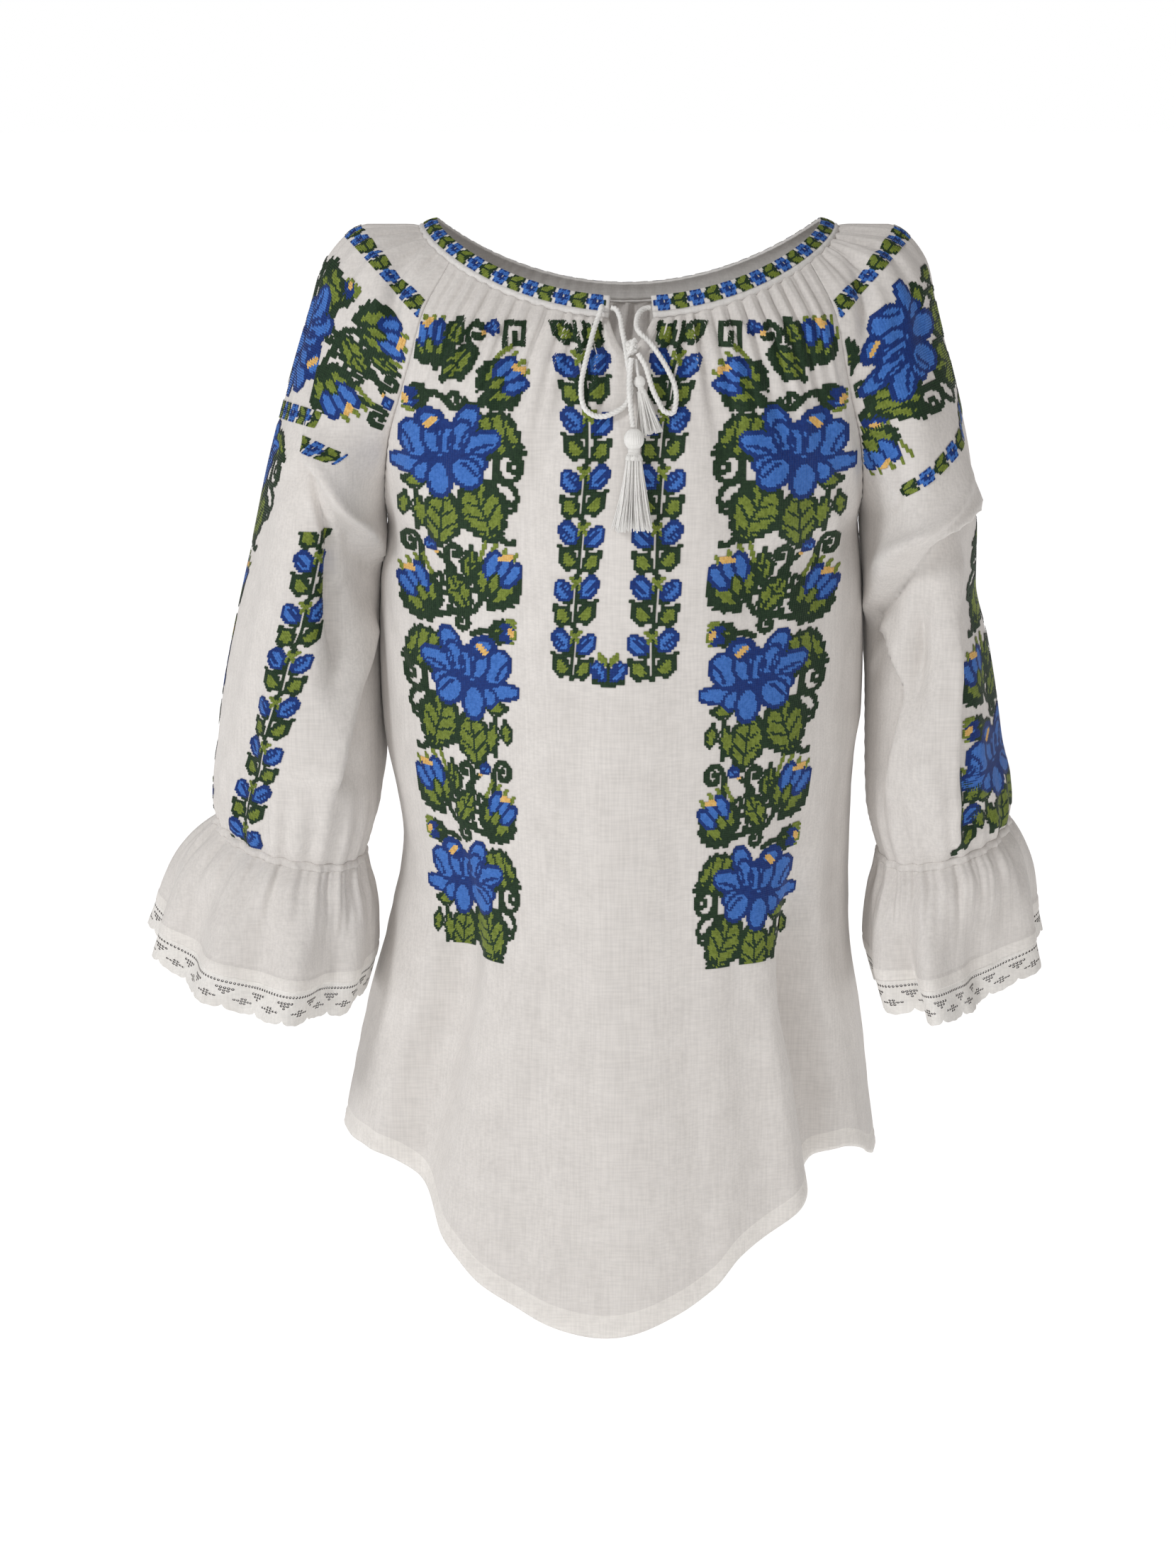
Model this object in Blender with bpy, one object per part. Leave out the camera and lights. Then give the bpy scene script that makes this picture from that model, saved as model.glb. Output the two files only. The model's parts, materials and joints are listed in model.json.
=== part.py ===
"""An embroidered peasant blouse of thin cotton, in the hollow form that it has when it is worn.

Metres, +Z up, and the front faces -Y. The origin is midway between the shoulders, level with the
crest of the neckband, where the wearer carries the blouse. Left and right are those of someone who
looks at the front, so left is -X.

Each cloth piece is a sheet of points in rows, which is given a thickness along its own normals.
The sleeves and the body share their raglan seams, and every piece stops just short of its seam.
"""
import math
from collections import namedtuple

import bmesh
import bpy
import numpy as np

WALL = 0.0011  # cotton voile with its gathers, as a wall
BAND_WALL = 0.0022  # the neckband is folded double round its cord channel
LACE_WALL = 0.001
SEAM_HALF_GAP = 0.0002  # each piece stops this far from its seam line
ARMPIT_HALF_GAP = 0.0013  # the seam line is further off at the armpit, where two walls run side by side
EDGE_GAP = 0.0004  # between a gathered edge and the edge that it is sewn to

NECK_HALF_WIDTH = 0.128  # lower edge of the neckband
NECK_FRONT = 0.0945
NECK_BACK = 0.085
NECK_CENTRE_X = 0.003  # the neck sits a little to the right of the shoulders' middle
NECK_SIDE_Z = -0.004
NECK_FRONT_DIP = 0.045
NECK_BACK_DIP = 0.0545
NECK_DIP_POWER = 1.66
BAND_RISE_SIDE = (0.011, 0.004)  # the band leans in over the shoulder, by this much in and up
BAND_RISE_FRONT = (0.006, 0.0115)
BAND_RISE_BACK = (0.006, 0.0125)
PIPING_SHARE = 0.22  # the plain roll along the band's lower edge
PIPING_LIFT = 0.0005

SLIT_HALF_WIDTH = 0.013
SLIT_END = 0.125  # how far down the front the slit reaches, in the rows' own measure
SLIT_SPREAD = 0.3  # the share of each half front that makes room for it
RAGLAN_ANGLE = 57.0  # degrees from the centre front to the raglan seam, round the neck

# A sleeve's rows. down is 0 at the neckband, 1 at the armpit and 2 at the elastic.
SleeveRow = namedtuple("SleeveRow", "down out_left out_right out_z in_x in_z depth open y nod turn")
SLEEVE = [
    SleeveRow(0.00, 0.1280, 0.1280, -0.0040, 0.1074, -0.0203, 0.0945, 33, 0.000, 0.00, 0.00),
    SleeveRow(0.17, 0.1580, 0.1580, -0.0050, 0.1225, -0.0490, 0.0855, 55, 0.000, 0.00, 0.00),
    SleeveRow(0.33, 0.1815, 0.1815, -0.0260, 0.1300, -0.0790, 0.0740, 77, 0.000, 0.00, 0.00),
    SleeveRow(0.45, 0.1945, 0.1925, -0.0550, 0.1350, -0.0980, 0.0692, 94, 0.000, 0.00, 0.00),
    SleeveRow(0.62, 0.2090, 0.2060, -0.0980, 0.1430, -0.1280, 0.0675, 119, 0.000, 0.00, 0.00),
    SleeveRow(0.82, 0.2220, 0.2185, -0.1470, 0.1475, -0.1630, 0.0670, 150, 0.000, 0.00, 0.00),
    SleeveRow(1.00, 0.2305, 0.2245, -0.1870, 0.1490, -0.1870, 0.0660, 180, 0.000, 0.00, 0.00),
    SleeveRow(1.18, 0.2395, 0.2250, -0.2235, 0.1535, -0.2265, 0.0660, 180, -0.001, 0.02, 0.00),
    SleeveRow(1.36, 0.2480, 0.2320, -0.2590, 0.1550, -0.2640, 0.0640, 180, -0.003, 0.04, 0.03),
    SleeveRow(1.55, 0.2555, 0.2390, -0.2945, 0.1555, -0.3030, 0.0600, 180, -0.006, 0.06, 0.08),
    SleeveRow(1.72, 0.2605, 0.2445, -0.3270, 0.1560, -0.3390, 0.0560, 180, -0.009, 0.08, 0.12),
    SleeveRow(1.85, 0.2635, 0.2505, -0.3520, 0.1575, -0.3675, 0.0520, 180, -0.011, 0.09, 0.16),
    SleeveRow(1.94, 0.2635, 0.2540, -0.3690, 0.1620, -0.3865, 0.0490, 180, -0.012, 0.09, 0.18),
    SleeveRow(2.00, 0.2625, 0.2545, -0.3805, 0.1667, -0.4000, 0.0455, 180, -0.012, 0.09, 0.20),
]
# A flounce's rows, from the elastic at 0 to its own hem at 1 and the edge of the lace at 2.
FLOUNCE = [
    SleeveRow(0.00, 0.2630, 0.2550, -0.3815, 0.1665, -0.4010, 0.0460, 180, -0.012, 0.09, 0.20),
    SleeveRow(0.15, 0.2770, 0.2610, -0.3905, 0.1655, -0.4110, 0.0540, 180, -0.012, 0.09, 0.22),
    SleeveRow(0.35, 0.2910, 0.2660, -0.4040, 0.1650, -0.4250, 0.0600, 180, -0.011, 0.10, 0.24),
    SleeveRow(0.60, 0.3005, 0.2695, -0.4210, 0.1645, -0.4420, 0.0650, 180, -0.010, 0.10, 0.26),
    SleeveRow(0.85, 0.3045, 0.2705, -0.4390, 0.1645, -0.4600, 0.0690, 180, -0.010, 0.11, 0.28),
    SleeveRow(1.00, 0.3065, 0.2715, -0.4500, 0.1655, -0.4715, 0.0710, 180, -0.010, 0.11, 0.29),
    SleeveRow(2.00, 0.3125, 0.2755, -0.4675, 0.1710, -0.4945, 0.0745, 180, -0.010, 0.12, 0.30),
]

# The middle line of the front and of the back. down is 0 at the neck, 1 at the armpit, 2 at the hem.
CentreRow = namedtuple("CentreRow", "down depth z sweep sag")
FRONT_CENTRE = [
    CentreRow(0.00, 0.0945, -0.0490, 57, 1.2),
    CentreRow(0.05, 0.1005, -0.0580, 59, 1.2),
    CentreRow(0.17, 0.1090, -0.0755, 63, 1.2),
    CentreRow(0.45, 0.1195, -0.1180, 74, 1.2),
    CentreRow(0.82, 0.1240, -0.1740, 85, 1.2),
    CentreRow(1.00, 0.1240, -0.2030, 90, 1.2),
    CentreRow(1.40, 0.1180, -0.4030, 90, 1.6),
    CentreRow(1.70, 0.1180, -0.5530, 90, 2.6),
    CentreRow(2.00, 0.1230, -0.7020, 90, 3.6),
]
BACK_CENTRE = [
    CentreRow(0.00, 0.0850, -0.0585, 57, 1.2),
    CentreRow(0.05, 0.0885, -0.0675, 59, 1.2),
    CentreRow(0.17, 0.0940, -0.0840, 63, 1.2),
    CentreRow(0.45, 0.1020, -0.1210, 74, 1.2),
    CentreRow(0.82, 0.1060, -0.1740, 85, 1.2),
    CentreRow(1.00, 0.1060, -0.2010, 90, 1.2),
    CentreRow(1.40, 0.1010, -0.4000, 90, 1.6),
    CentreRow(1.70, 0.1010, -0.5480, 90, 2.6),
    CentreRow(2.00, 0.1080, -0.6950, 90, 3.6),
]
# The side seam below the armpit.
SideRow = namedtuple("SideRow", "down left right z")
SIDE_SEAM = [
    SideRow(1.00, 0.1490, 0.1490, -0.187),
    SideRow(1.09, 0.1475, 0.1480, -0.224),
    SideRow(1.20, 0.1455, 0.1465, -0.270),
    SideRow(1.49, 0.1435, 0.1455, -0.391),
    SideRow(1.63, 0.1527, 0.1505, -0.449),
    SideRow(1.78, 0.1687, 0.1607, -0.512),
    SideRow(1.90, 0.1790, 0.1670, -0.561),
    SideRow(2.00, 0.1870, 0.1730, -0.603),
]

# How far the hem is raised from the smooth curve of the centre rows. across is -1 to 1.
HemRow = namedtuple("HemRow", "down rise")  # here down holds the place across the piece
FRONT_HEM = [
    HemRow(-1.00, 0.006),
    HemRow(-0.80, 0.008),
    HemRow(-0.50, 0.006),
    HemRow(0.00, 0.006),
    HemRow(0.30, 0.012),
    HemRow(0.50, 0.020),
    HemRow(0.68, 0.020),
    HemRow(0.86, -0.004),
    HemRow(1.00, -0.009),
]
BACK_HEM = [HemRow(-1.0, 0.005), HemRow(0.0, 0.004), HemRow(0.86, -0.002), HemRow(1.0, -0.009)]

# The largest folds. across runs from -1 to 1 over a piece, and a negative depth is a trough.
Fold = namedtuple("Fold", "across_top down_top across_foot down_foot width depth")
FRONT_FOLDS = [
    Fold(-0.50, 1.30, -0.56, 2.00, 0.110, -0.022),
    Fold(-0.33, 1.35, -0.36, 2.00, 0.090, 0.005),
    Fold(0.52, 1.35, 0.60, 2.00, 0.085, -0.026),
    Fold(0.42, 1.40, 0.46, 2.00, 0.060, 0.006),
    Fold(0.05, 1.50, 0.02, 2.00, 0.200, 0.004),
    Fold(-0.72, 0.35, -0.52, 0.95, 0.060, -0.004),
    Fold(0.74, 0.35, 0.56, 0.95, 0.060, -0.004),
]
BACK_FOLDS = [
    Fold(-0.52, 1.25, -0.56, 2.00, 0.100, -0.020),
    Fold(-0.18, 1.30, -0.22, 2.00, 0.090, -0.010),
    Fold(0.16, 1.35, 0.18, 2.00, 0.100, -0.012),
    Fold(0.54, 1.25, 0.60, 2.00, 0.095, -0.022),
    Fold(-0.74, 0.35, -0.55, 0.95, 0.060, -0.004),
    Fold(0.72, 0.35, 0.52, 0.95, 0.060, -0.004),
]
LEFT_SLEEVE_FOLDS = [
    Fold(-0.42, 0.55, -0.80, 1.10, 0.070, 0.006),
    Fold(-0.55, 0.80, -0.72, 1.55, 0.080, -0.008),
    Fold(-0.35, 1.30, -0.30, 1.98, 0.060, -0.004),
    Fold(-0.72, 1.40, -0.62, 1.98, 0.060, 0.004),
    Fold(0.45, 0.60, 0.70, 1.35, 0.080, -0.007),
    Fold(0.30, 1.30, 0.42, 1.98, 0.070, 0.004),
]
RIGHT_SLEEVE_FOLDS = [
    Fold(-0.38, 0.85, -0.86, 1.18, 0.070, 0.007),
    Fold(-0.50, 1.05, -0.74, 1.65, 0.090, -0.012),
    Fold(-0.30, 1.30, -0.34, 1.98, 0.060, 0.004),
    Fold(-0.62, 1.45, -0.52, 1.98, 0.060, 0.004),
    Fold(0.42, 0.70, 0.74, 1.40, 0.080, -0.008),
    Fold(0.32, 1.35, 0.40, 1.98, 0.070, 0.004),
]
LEFT_FLOUNCE_FOLDS = [
    Fold(-0.24, 0.10, -0.20, 2.00, 0.060, -0.006),
    Fold(-0.78, 0.10, -0.80, 2.00, 0.080, -0.008),
    Fold(0.45, 0.10, 0.50, 2.00, 0.080, -0.008),
]
RIGHT_FLOUNCE_FOLDS = [
    Fold(-0.42, 0.05, -0.40, 2.00, 0.070, -0.024),
    Fold(-0.72, 0.10, -0.75, 2.00, 0.070, -0.008),
    Fold(0.40, 0.10, 0.45, 2.00, 0.080, -0.010),
]

# The pulled-up fullness at each gathered edge: how many gathers, and how high they stand on each row.
FRONT_GATHERS = 13  # on each side of the slit
BACK_GATHERS = 26
CAP_GATHERS = 11
CUFF_GATHERS = 20
FLOUNCE_WAVES = 9
WAVE_HEIGHT = 0.0065
WAVE_PHASE = {-1: 0.0, 1: 0.7}
FRONT_SEEDS = {-1: 4, 1: 3}  # each set of gathers varies in its own way
BACK_SEED = 5
CAP_SEEDS = {-1: 8, 1: 7}
CUFF_SEEDS = {-1: 12, 1: 11}
GATHERED_TO = 0.25  # above this row the pieces are gathered and drawn onto the band
BODY_CALM = 10  # the power that keeps gathers and folds away from the body's seams
SLEEVE_CALM = 8
SLOPE_STEP = 1e-3  # how far apart two places are that give a slope
GatherRow = namedtuple("GatherRow", "down height")
NECK_GATHERS = [
    GatherRow(0.00, 0.0009),
    GatherRow(0.05, 0.0022),
    GatherRow(0.125, 0.0023),
    GatherRow(0.25, 0.0016),
    GatherRow(0.42, 0.0006),
    GatherRow(0.58, 0.0),
]
CUFF_GATHER_ROWS = [
    GatherRow(1.72, 0.0),
    GatherRow(1.85, 0.0012),
    GatherRow(1.94, 0.0020),
    GatherRow(2.00, 0.0012),
]
FLOUNCE_GATHER_ROWS = [
    GatherRow(0.00, 0.0012),
    GatherRow(0.15, 0.0021),
    GatherRow(0.35, 0.0013),
    GatherRow(0.70, 0.0),
]

# The tie at the slit. lift is how far each point stands in front of the plain cloth or the band.
CORD_THICK = 0.0032
CORD_STEP = 0.0052
TiePoint = namedtuple("TiePoint", "x z lift")
LEFT_LOOP = [
    TiePoint(-0.0082, -0.0432, 0.0004),  # the drawstring's mouth, in the band's left end
    TiePoint(-0.0060, -0.0438, 0.0010),
    TiePoint(-0.0036, -0.0475, 0.0026),
    TiePoint(-0.0022, -0.0545, 0.0038),
    TiePoint(-0.0006, -0.0620, 0.0044),
    TiePoint(0.0008, -0.0713, 0.0054),
    TiePoint(0.0024, -0.0815, 0.0050),
    TiePoint(0.0026, -0.0900, 0.0044),
    TiePoint(-0.0006, -0.0965, 0.0040),
    TiePoint(-0.0070, -0.1005, 0.0038),
    TiePoint(-0.0131, -0.1026, 0.0038),
    TiePoint(-0.0189, -0.1020, 0.0038),
    TiePoint(-0.0234, -0.0987, 0.0040),
    TiePoint(-0.0256, -0.0930, 0.0042),
    TiePoint(-0.0259, -0.0847, 0.0046),
    TiePoint(-0.0240, -0.0745, 0.0052),
    TiePoint(-0.0212, -0.0640, 0.0058),
    TiePoint(-0.0190, -0.0560, 0.0062),
    TiePoint(-0.0165, -0.0490, 0.0066),
    TiePoint(-0.0149, -0.0446, 0.0074),
    TiePoint(-0.0141, -0.0421, 0.0066),
    TiePoint(-0.0138, -0.0432, 0.0028),  # back into the band through its eyelet
]
RIGHT_LOOP = [
    TiePoint(0.0145, -0.0432, 0.0004),  # the mouth in the band's right end
    TiePoint(0.0118, -0.0434, 0.0012),
    TiePoint(0.0082, -0.0452, 0.0040),
    TiePoint(0.0062, -0.0500, 0.0078),
    TiePoint(0.0078, -0.0555, 0.0098),
    TiePoint(0.0132, -0.0605, 0.0084),
    TiePoint(0.0190, -0.0680, 0.0062),
    TiePoint(0.0248, -0.0774, 0.0054),
    TiePoint(0.0284, -0.0860, 0.0048),
    TiePoint(0.0290, -0.0945, 0.0042),
    TiePoint(0.0268, -0.1008, 0.0042),
    TiePoint(0.0228, -0.1000, 0.0048),
    TiePoint(0.0188, -0.0940, 0.0056),
    TiePoint(0.0152, -0.0865, 0.0064),
    TiePoint(0.0130, -0.0795, 0.0072),
    TiePoint(0.0110, -0.0735, 0.0086),
    TiePoint(0.0082, -0.0688, 0.0100),
    TiePoint(0.0069, -0.0667, 0.0106),
]
KNOT = TiePoint(0.0032, -0.0635, 0.0106)
KNOT_SIZE = (0.0062, 0.0052, 0.0105)
KNOT_RINGS = 7
KNOT_SIDES = 10
KNOT_REACH = 78.0  # degrees from its middle to its flat ends
TAIL = [
    TiePoint(0.0030, -0.0692, 0.0106),
    TiePoint(0.0022, -0.0770, 0.0092),
    TiePoint(0.0018, -0.0860, 0.0088),
    TiePoint(0.0026, -0.0960, 0.0086),
    TiePoint(0.0041, -0.1081, 0.0080),
]

# A tassel's head and collar, turned about its own line: how far below the head's middle, and how wide.
HeadRow = namedtuple("HeadRow", "below radius")
TASSEL_HEAD = [
    HeadRow(-1.10, 0.30),
    HeadRow(-0.86, 0.62),
    HeadRow(-0.40, 0.96),
    HeadRow(0.10, 1.00),
    HeadRow(0.60, 0.82),
    HeadRow(1.00, 0.50),
    HeadRow(1.25, 0.52),
    HeadRow(1.80, 0.86),
    HeadRow(2.35, 0.94),
]
TASSEL_SIDES = 12
TASSEL_FLAT = 0.72  # the tassels lie on the cloth, so they are deeper from side to side
STRAND_RADIUS = 0.00078
STRAND_FLAT = 0.30  # how much thinner the skirt gets from front to back, in head radii
ROOT_SPREAD = 0.72  # how far out the outer strands begin, in head radii
STRAND_ROOT = 1.95  # where the strands begin, in head radii below the head's middle
STRAND_SEED = 21
STRAND_AT = (0.0, 0.3, 0.65, 1.0)  # a strand's rings along its length, and how thick each is
STRAND_THICK = (0.5, 1.0, 1.0, 0.8)
STRAND_SIDES = 3
STEM_SIDES = 8
# head and foot are places on the cloth; spread is half the skirt's width at its foot.
Tassel = namedtuple("Tassel", "name head foot radius spread rings stem")
TASSELS = [
    Tassel(
        "tassel_long",
        TiePoint(0.0046, -0.1150, 0.0080),
        TiePoint(0.0048, -0.1680, 0.0066),
        0.0057,
        0.0115,
        (1, 6, 11, 16),
        None,
    ),
    Tassel(
        "tassel_short",
        TiePoint(0.0078, -0.0830, 0.0060),
        TiePoint(0.0150, -0.1125, 0.0032),
        0.0033,
        0.0052,
        (1, 5, 9),
        TiePoint(0.0057, -0.0703, 0.0078),
    ),
]

RAGLAN_ROWS = (0.0, 0.05, 0.125, 0.25, 0.42, 0.58, 0.74, 0.88, 1.0)
BODY_ROWS = (1.10, 1.22, 1.34, 1.46, 1.57, 1.68, 1.78, 1.87, 1.94, 2.0)
ARM_ROWS = (1.12, 1.26, 1.42, 1.58, 1.72, 1.84, 1.94, 2.0)
FLOUNCE_ROWS = (0.0, 0.12, 0.40, 0.70, 1.0)
LACE_ROWS = (1.02, 2.0)
BODY_COLUMNS = 28
ARM_COLUMNS = 28
BAND_COLUMNS = 60
ARM_MIDDLE = (0.19, -0.1)  # a line inside the sleeve: its x, and its highest z
CUFF_MIDDLE = 0.23


def spline(rows, column, at):
    """One named column of a table at the places that at gives, on a curve that doesn't overshoot."""
    x = np.array([row.down for row in rows])
    y = np.array([getattr(row, column) for row in rows], float)
    step, rise = np.diff(x), np.diff(y)
    slope = rise / step
    tangent = np.concatenate([[slope[0]], np.zeros(len(x) - 2), [slope[-1]]])
    for i in range(1, len(x) - 1):
        if slope[i - 1] * slope[i] > 0:
            tangent[i] = 2 * slope[i - 1] * slope[i] / (slope[i - 1] + slope[i])
    at = np.clip(np.asarray(at, float), x[0], x[-1])
    k = np.clip(np.searchsorted(x, at, "right") - 1, 0, len(x) - 2)
    t = (at - x[k]) / step[k]
    curve = (2 * t**3 - 3 * t**2 + 1) * y[k] + (3 * t**2 - 2 * t**3) * y[k + 1]
    return curve + step[k] * ((t**3 - 2 * t**2 + t) * tangent[k] + (t**3 - t**2) * tangent[k + 1])


def smooth_step(t):
    t = np.clip(t, 0.0, 1.0)
    return t * t * (3 - 2 * t)


def unit(v):
    return v / np.maximum(np.linalg.norm(v, axis=-1, keepdims=True), 1e-12)


def points(x, y, z):
    return np.stack(np.broadcast_arrays(x, y, z), axis=-1)


def neck(phi, up):
    """A point of the neckband: phi turns from the centre front towards +X, and up is 0 to 1."""
    s, c = np.sin(phi), np.cos(phi)
    front = c > 0
    dip = np.abs(c) ** NECK_DIP_POWER
    z = NECK_SIDE_Z - np.where(front, NECK_FRONT_DIP, NECK_BACK_DIP) * dip
    lower = points(NECK_CENTRE_X + NECK_HALF_WIDTH * s, -np.where(front, NECK_FRONT, NECK_BACK) * c, z)
    rise_in = np.where(front, BAND_RISE_FRONT[0], BAND_RISE_BACK[0])
    rise_up = np.where(front, BAND_RISE_FRONT[1], BAND_RISE_BACK[1])
    lift = BAND_RISE_SIDE[1] + (rise_up - BAND_RISE_SIDE[1]) * dip
    band = points(-BAND_RISE_SIDE[0] * s, rise_in * c, lift)
    return lower + np.asarray(up)[..., None] * band


def half_gap(down):
    return SEAM_HALF_GAP + (ARMPIT_HALF_GAP - SEAM_HALF_GAP) * smooth_step((down - 0.82) / 0.18)


def arm_row(rows, side, psi, down, gap):
    """A row of a sleeve or a flounce: an arc from its front seam over the outer side to its back
    seam, and a whole ring below the armpit. psi is 0 on the outer side and negative in front."""
    out_x = spline(rows, "out_right" if side > 0 else "out_left", down)
    out_z, in_z = spline(rows, "out_z", down), spline(rows, "in_z", down)
    in_x, depth = spline(rows, "in_x", down) + gap, spline(rows, "depth", down)
    opening = np.radians(spline(rows, "open", down))
    share = (np.cos(psi) - np.cos(opening)) / (1 - np.cos(opening))
    x = in_x + (out_x - in_x) * share
    y = depth * np.sin(psi)
    z = in_z + (out_z - in_z) * share + spline(rows, "nod", down) * y
    y = y + spline(rows, "y", down) + spline(rows, "turn", down) * (x - (in_x + out_x) / 2)
    return points(side * x, y, z)


def sleeve_base(side, across, down):
    """The plain surface of a sleeve, without gathers or folds."""
    across, down = np.broadcast_arrays(np.asarray(across, float), np.asarray(down, float))
    opening = np.radians(spline(SLEEVE, "open", down))
    surface = arm_row(SLEEVE, side, across * opening, down, half_gap(down))
    surface[..., 0] += NECK_CENTRE_X * (1 - smooth_step(down / 0.6))
    top_open = math.radians(SLEEVE[0].open)
    phi = math.pi / 2 + across * top_open
    top = neck(side * phi, 0 * phi)
    plain_top = arm_row(SLEEVE, side, across * top_open, 0 * down, 0 * down)
    plain_top[..., 0] += NECK_CENTRE_X
    pull = np.clip(1 - down / GATHERED_TO, 0, 1)[..., None] ** 2
    return surface + pull * (top - plain_top)


def raglan(face, side, down):
    """The raglan seam line. face is -1 in front and 1 behind."""
    across = face * np.ones_like(np.asarray(down, float))
    p = sleeve_base(side, across, down)
    return p - points(side * half_gap(down), 0, 0)


def body_base(face, across, down):
    """The plain surface of the front or the back."""
    across, down = np.broadcast_arrays(np.asarray(across, float), np.asarray(down, float))
    rows = FRONT_CENTRE if face < 0 else BACK_CENTRE
    above = np.minimum(down, 1.0)
    seam_right, seam_left = raglan(face, 1, above), raglan(face, -1, above)
    below = down > 1
    wide_right = np.where(below, spline(SIDE_SEAM, "right", down), seam_right[..., 0])
    wide_left = np.where(below, spline(SIDE_SEAM, "left", down), -seam_left[..., 0])
    gap = np.where(below, ARMPIT_HALF_GAP, half_gap(above))
    wide = np.where(across > 0, wide_right, wide_left) - gap
    seam_y = np.where(below, 0.0, seam_right[..., 1])
    seam_y = np.where(np.abs(seam_y) < SEAM_HALF_GAP, face * SEAM_HALF_GAP, seam_y)
    seam_z = np.where(below, spline(SIDE_SEAM, "z", down), seam_right[..., 2])
    sweep = np.radians(spline(rows, "sweep", down))
    psi = across * sweep
    share = (np.cos(psi) - np.cos(sweep)) / (1 - np.cos(sweep))
    x = wide * np.sin(psi) / np.sin(sweep)
    y = seam_y + (face * spline(rows, "depth", down) - seam_y) * share
    z = seam_z + (spline(rows, "z", down) - seam_z) * share ** spline(rows, "sag", down)
    hem = FRONT_HEM if face < 0 else BACK_HEM
    z = z + spline(hem, "rise", across) * smooth_step((down - 1.4) / 0.6)
    surface = points(x, y, z)
    phi = across * math.radians(RAGLAN_ANGLE)
    top = neck(phi if face < 0 else math.pi - phi, 0 * phi)
    top_sweep = math.radians(RAGLAN_ANGLE)
    top_share = (np.cos(phi) - math.cos(top_sweep)) / (1 - math.cos(top_sweep))
    corner, other = raglan(face, 1, 0 * down), raglan(face, -1, 0 * down)
    top_wide = np.where(across > 0, corner[..., 0], -other[..., 0])
    plain = points(
        top_wide * np.sin(phi) / math.sin(top_sweep),
        corner[..., 1] + (face * rows[0].depth - corner[..., 1]) * top_share,
        corner[..., 2] + (rows[0].z - corner[..., 2]) * top_share ** rows[0].sag,
    )
    pull = np.clip(1 - down / GATHERED_TO, 0, 1)[..., None] ** 2
    surface = surface + pull * (top - plain)
    if face < 0:
        open_width = SLIT_HALF_WIDTH * np.clip(1 - down / SLIT_END, 0, 1) ** 0.8
        room = np.clip(1 - np.abs(across) / SLIT_SPREAD, 0, 1)
        surface[..., 0] += np.sign(across) * open_width * room
    return surface


def fold_height(folds, across, down, end):
    """How far the listed folds push the cloth out. A fold that reaches end stays open there."""
    height = np.zeros_like(across + down)
    for fold in folds:
        t = (down - fold.down_top) / (fold.down_foot - fold.down_top)
        middle = fold.across_top + (fold.across_foot - fold.across_top) * t
        along = smooth_step(t * 2) * (1.0 if fold.down_foot >= end else smooth_step((1 - t) * 2))
        reach = np.exp(-(((across - middle) / fold.width) ** 2))
        height = height + fold.depth * along * reach * (t > 0)
    return height


def gather_lines(count, start, end, seed):
    """Where the crests and the hollows of gathers lie between two edges, and how strong each is."""
    chance = np.random.default_rng(seed)
    place = np.linspace(start, end, 2 * count + 1)
    place[1:-1] += chance.uniform(-0.22, 0.22, 2 * count - 1) * (place[1] - place[0])
    strength = np.where(np.arange(2 * count + 1) % 2 == 1, 1.0, -0.8)
    strength *= chance.uniform(0.65, 1.15, 2 * count + 1)
    strength[[0, -1]] = 0.0
    return place, strength


class Sheet:
    """A sheet of cloth as points and triangles, before it has a thickness."""

    def __init__(self):
        self.points, self.faces, self.pinned = [], [], {}

    def row(self, places):
        start = len(self.points)
        self.points.extend(np.asarray(places, float))
        return list(range(start, len(self.points)))

    def pin(self, indices, normals):
        """Keeps these points where they are and says which way each faces."""
        for index, normal in zip(indices, normals):
            self.pinned[index] = (self.points[index], normal)

    def join(self, upper, upper_at, lower, lower_at):
        """Triangles between two rows, which may have different numbers of points."""
        i = j = 0
        while i < len(upper) - 1 or j < len(lower) - 1:
            next_upper = upper_at[i + 1] if i < len(upper) - 1 else math.inf
            next_lower = lower_at[j + 1] if j < len(lower) - 1 else math.inf
            if next_upper <= next_lower:
                self.faces.append((upper[i], lower[j], upper[i + 1]))
                i += 1
            else:
                self.faces.append((upper[i], lower[j], lower[j + 1]))
                j += 1

    def normals(self):
        p = np.array(self.points)
        f = np.array(self.faces)
        face_normal = np.cross(p[f[:, 1]] - p[f[:, 0]], p[f[:, 2]] - p[f[:, 0]])
        n = np.zeros_like(p)
        for k in range(3):
            np.add.at(n, f[:, k], face_normal)
        return unit(n)

    def solid(self, name, wall, material, outward, lift=None):
        """The sheet with a thickness. outward(point) gives a direction that its outer side faces."""
        p = np.array(self.points)
        n = self.normals()
        middle = len(p) // 2
        if np.dot(n[middle], outward(p[middle])) < 0:
            n = -n
            self.faces = [face[::-1] for face in self.faces]
        for i, (place, normal) in self.pinned.items():
            p[i] = place
            n[i] = normal
        rise = np.zeros(len(p)) if lift is None else np.asarray(lift)
        outer = p + n * (wall / 2 + rise)[:, None]
        inner = p - n * (wall / 2)
        count = len(p)
        faces = list(self.faces) + [tuple(i + count for i in face[::-1]) for face in self.faces]
        edges = {}
        for face in self.faces:
            for a, b in zip(face, face[1:] + face[:1]):
                edges[(a, b)] = True
        for a, b in edges:
            if (b, a) not in edges:
                faces.append((b, a, a + count, b + count))
        return make_object(name, np.concatenate([outer, inner]), faces, material)


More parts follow.
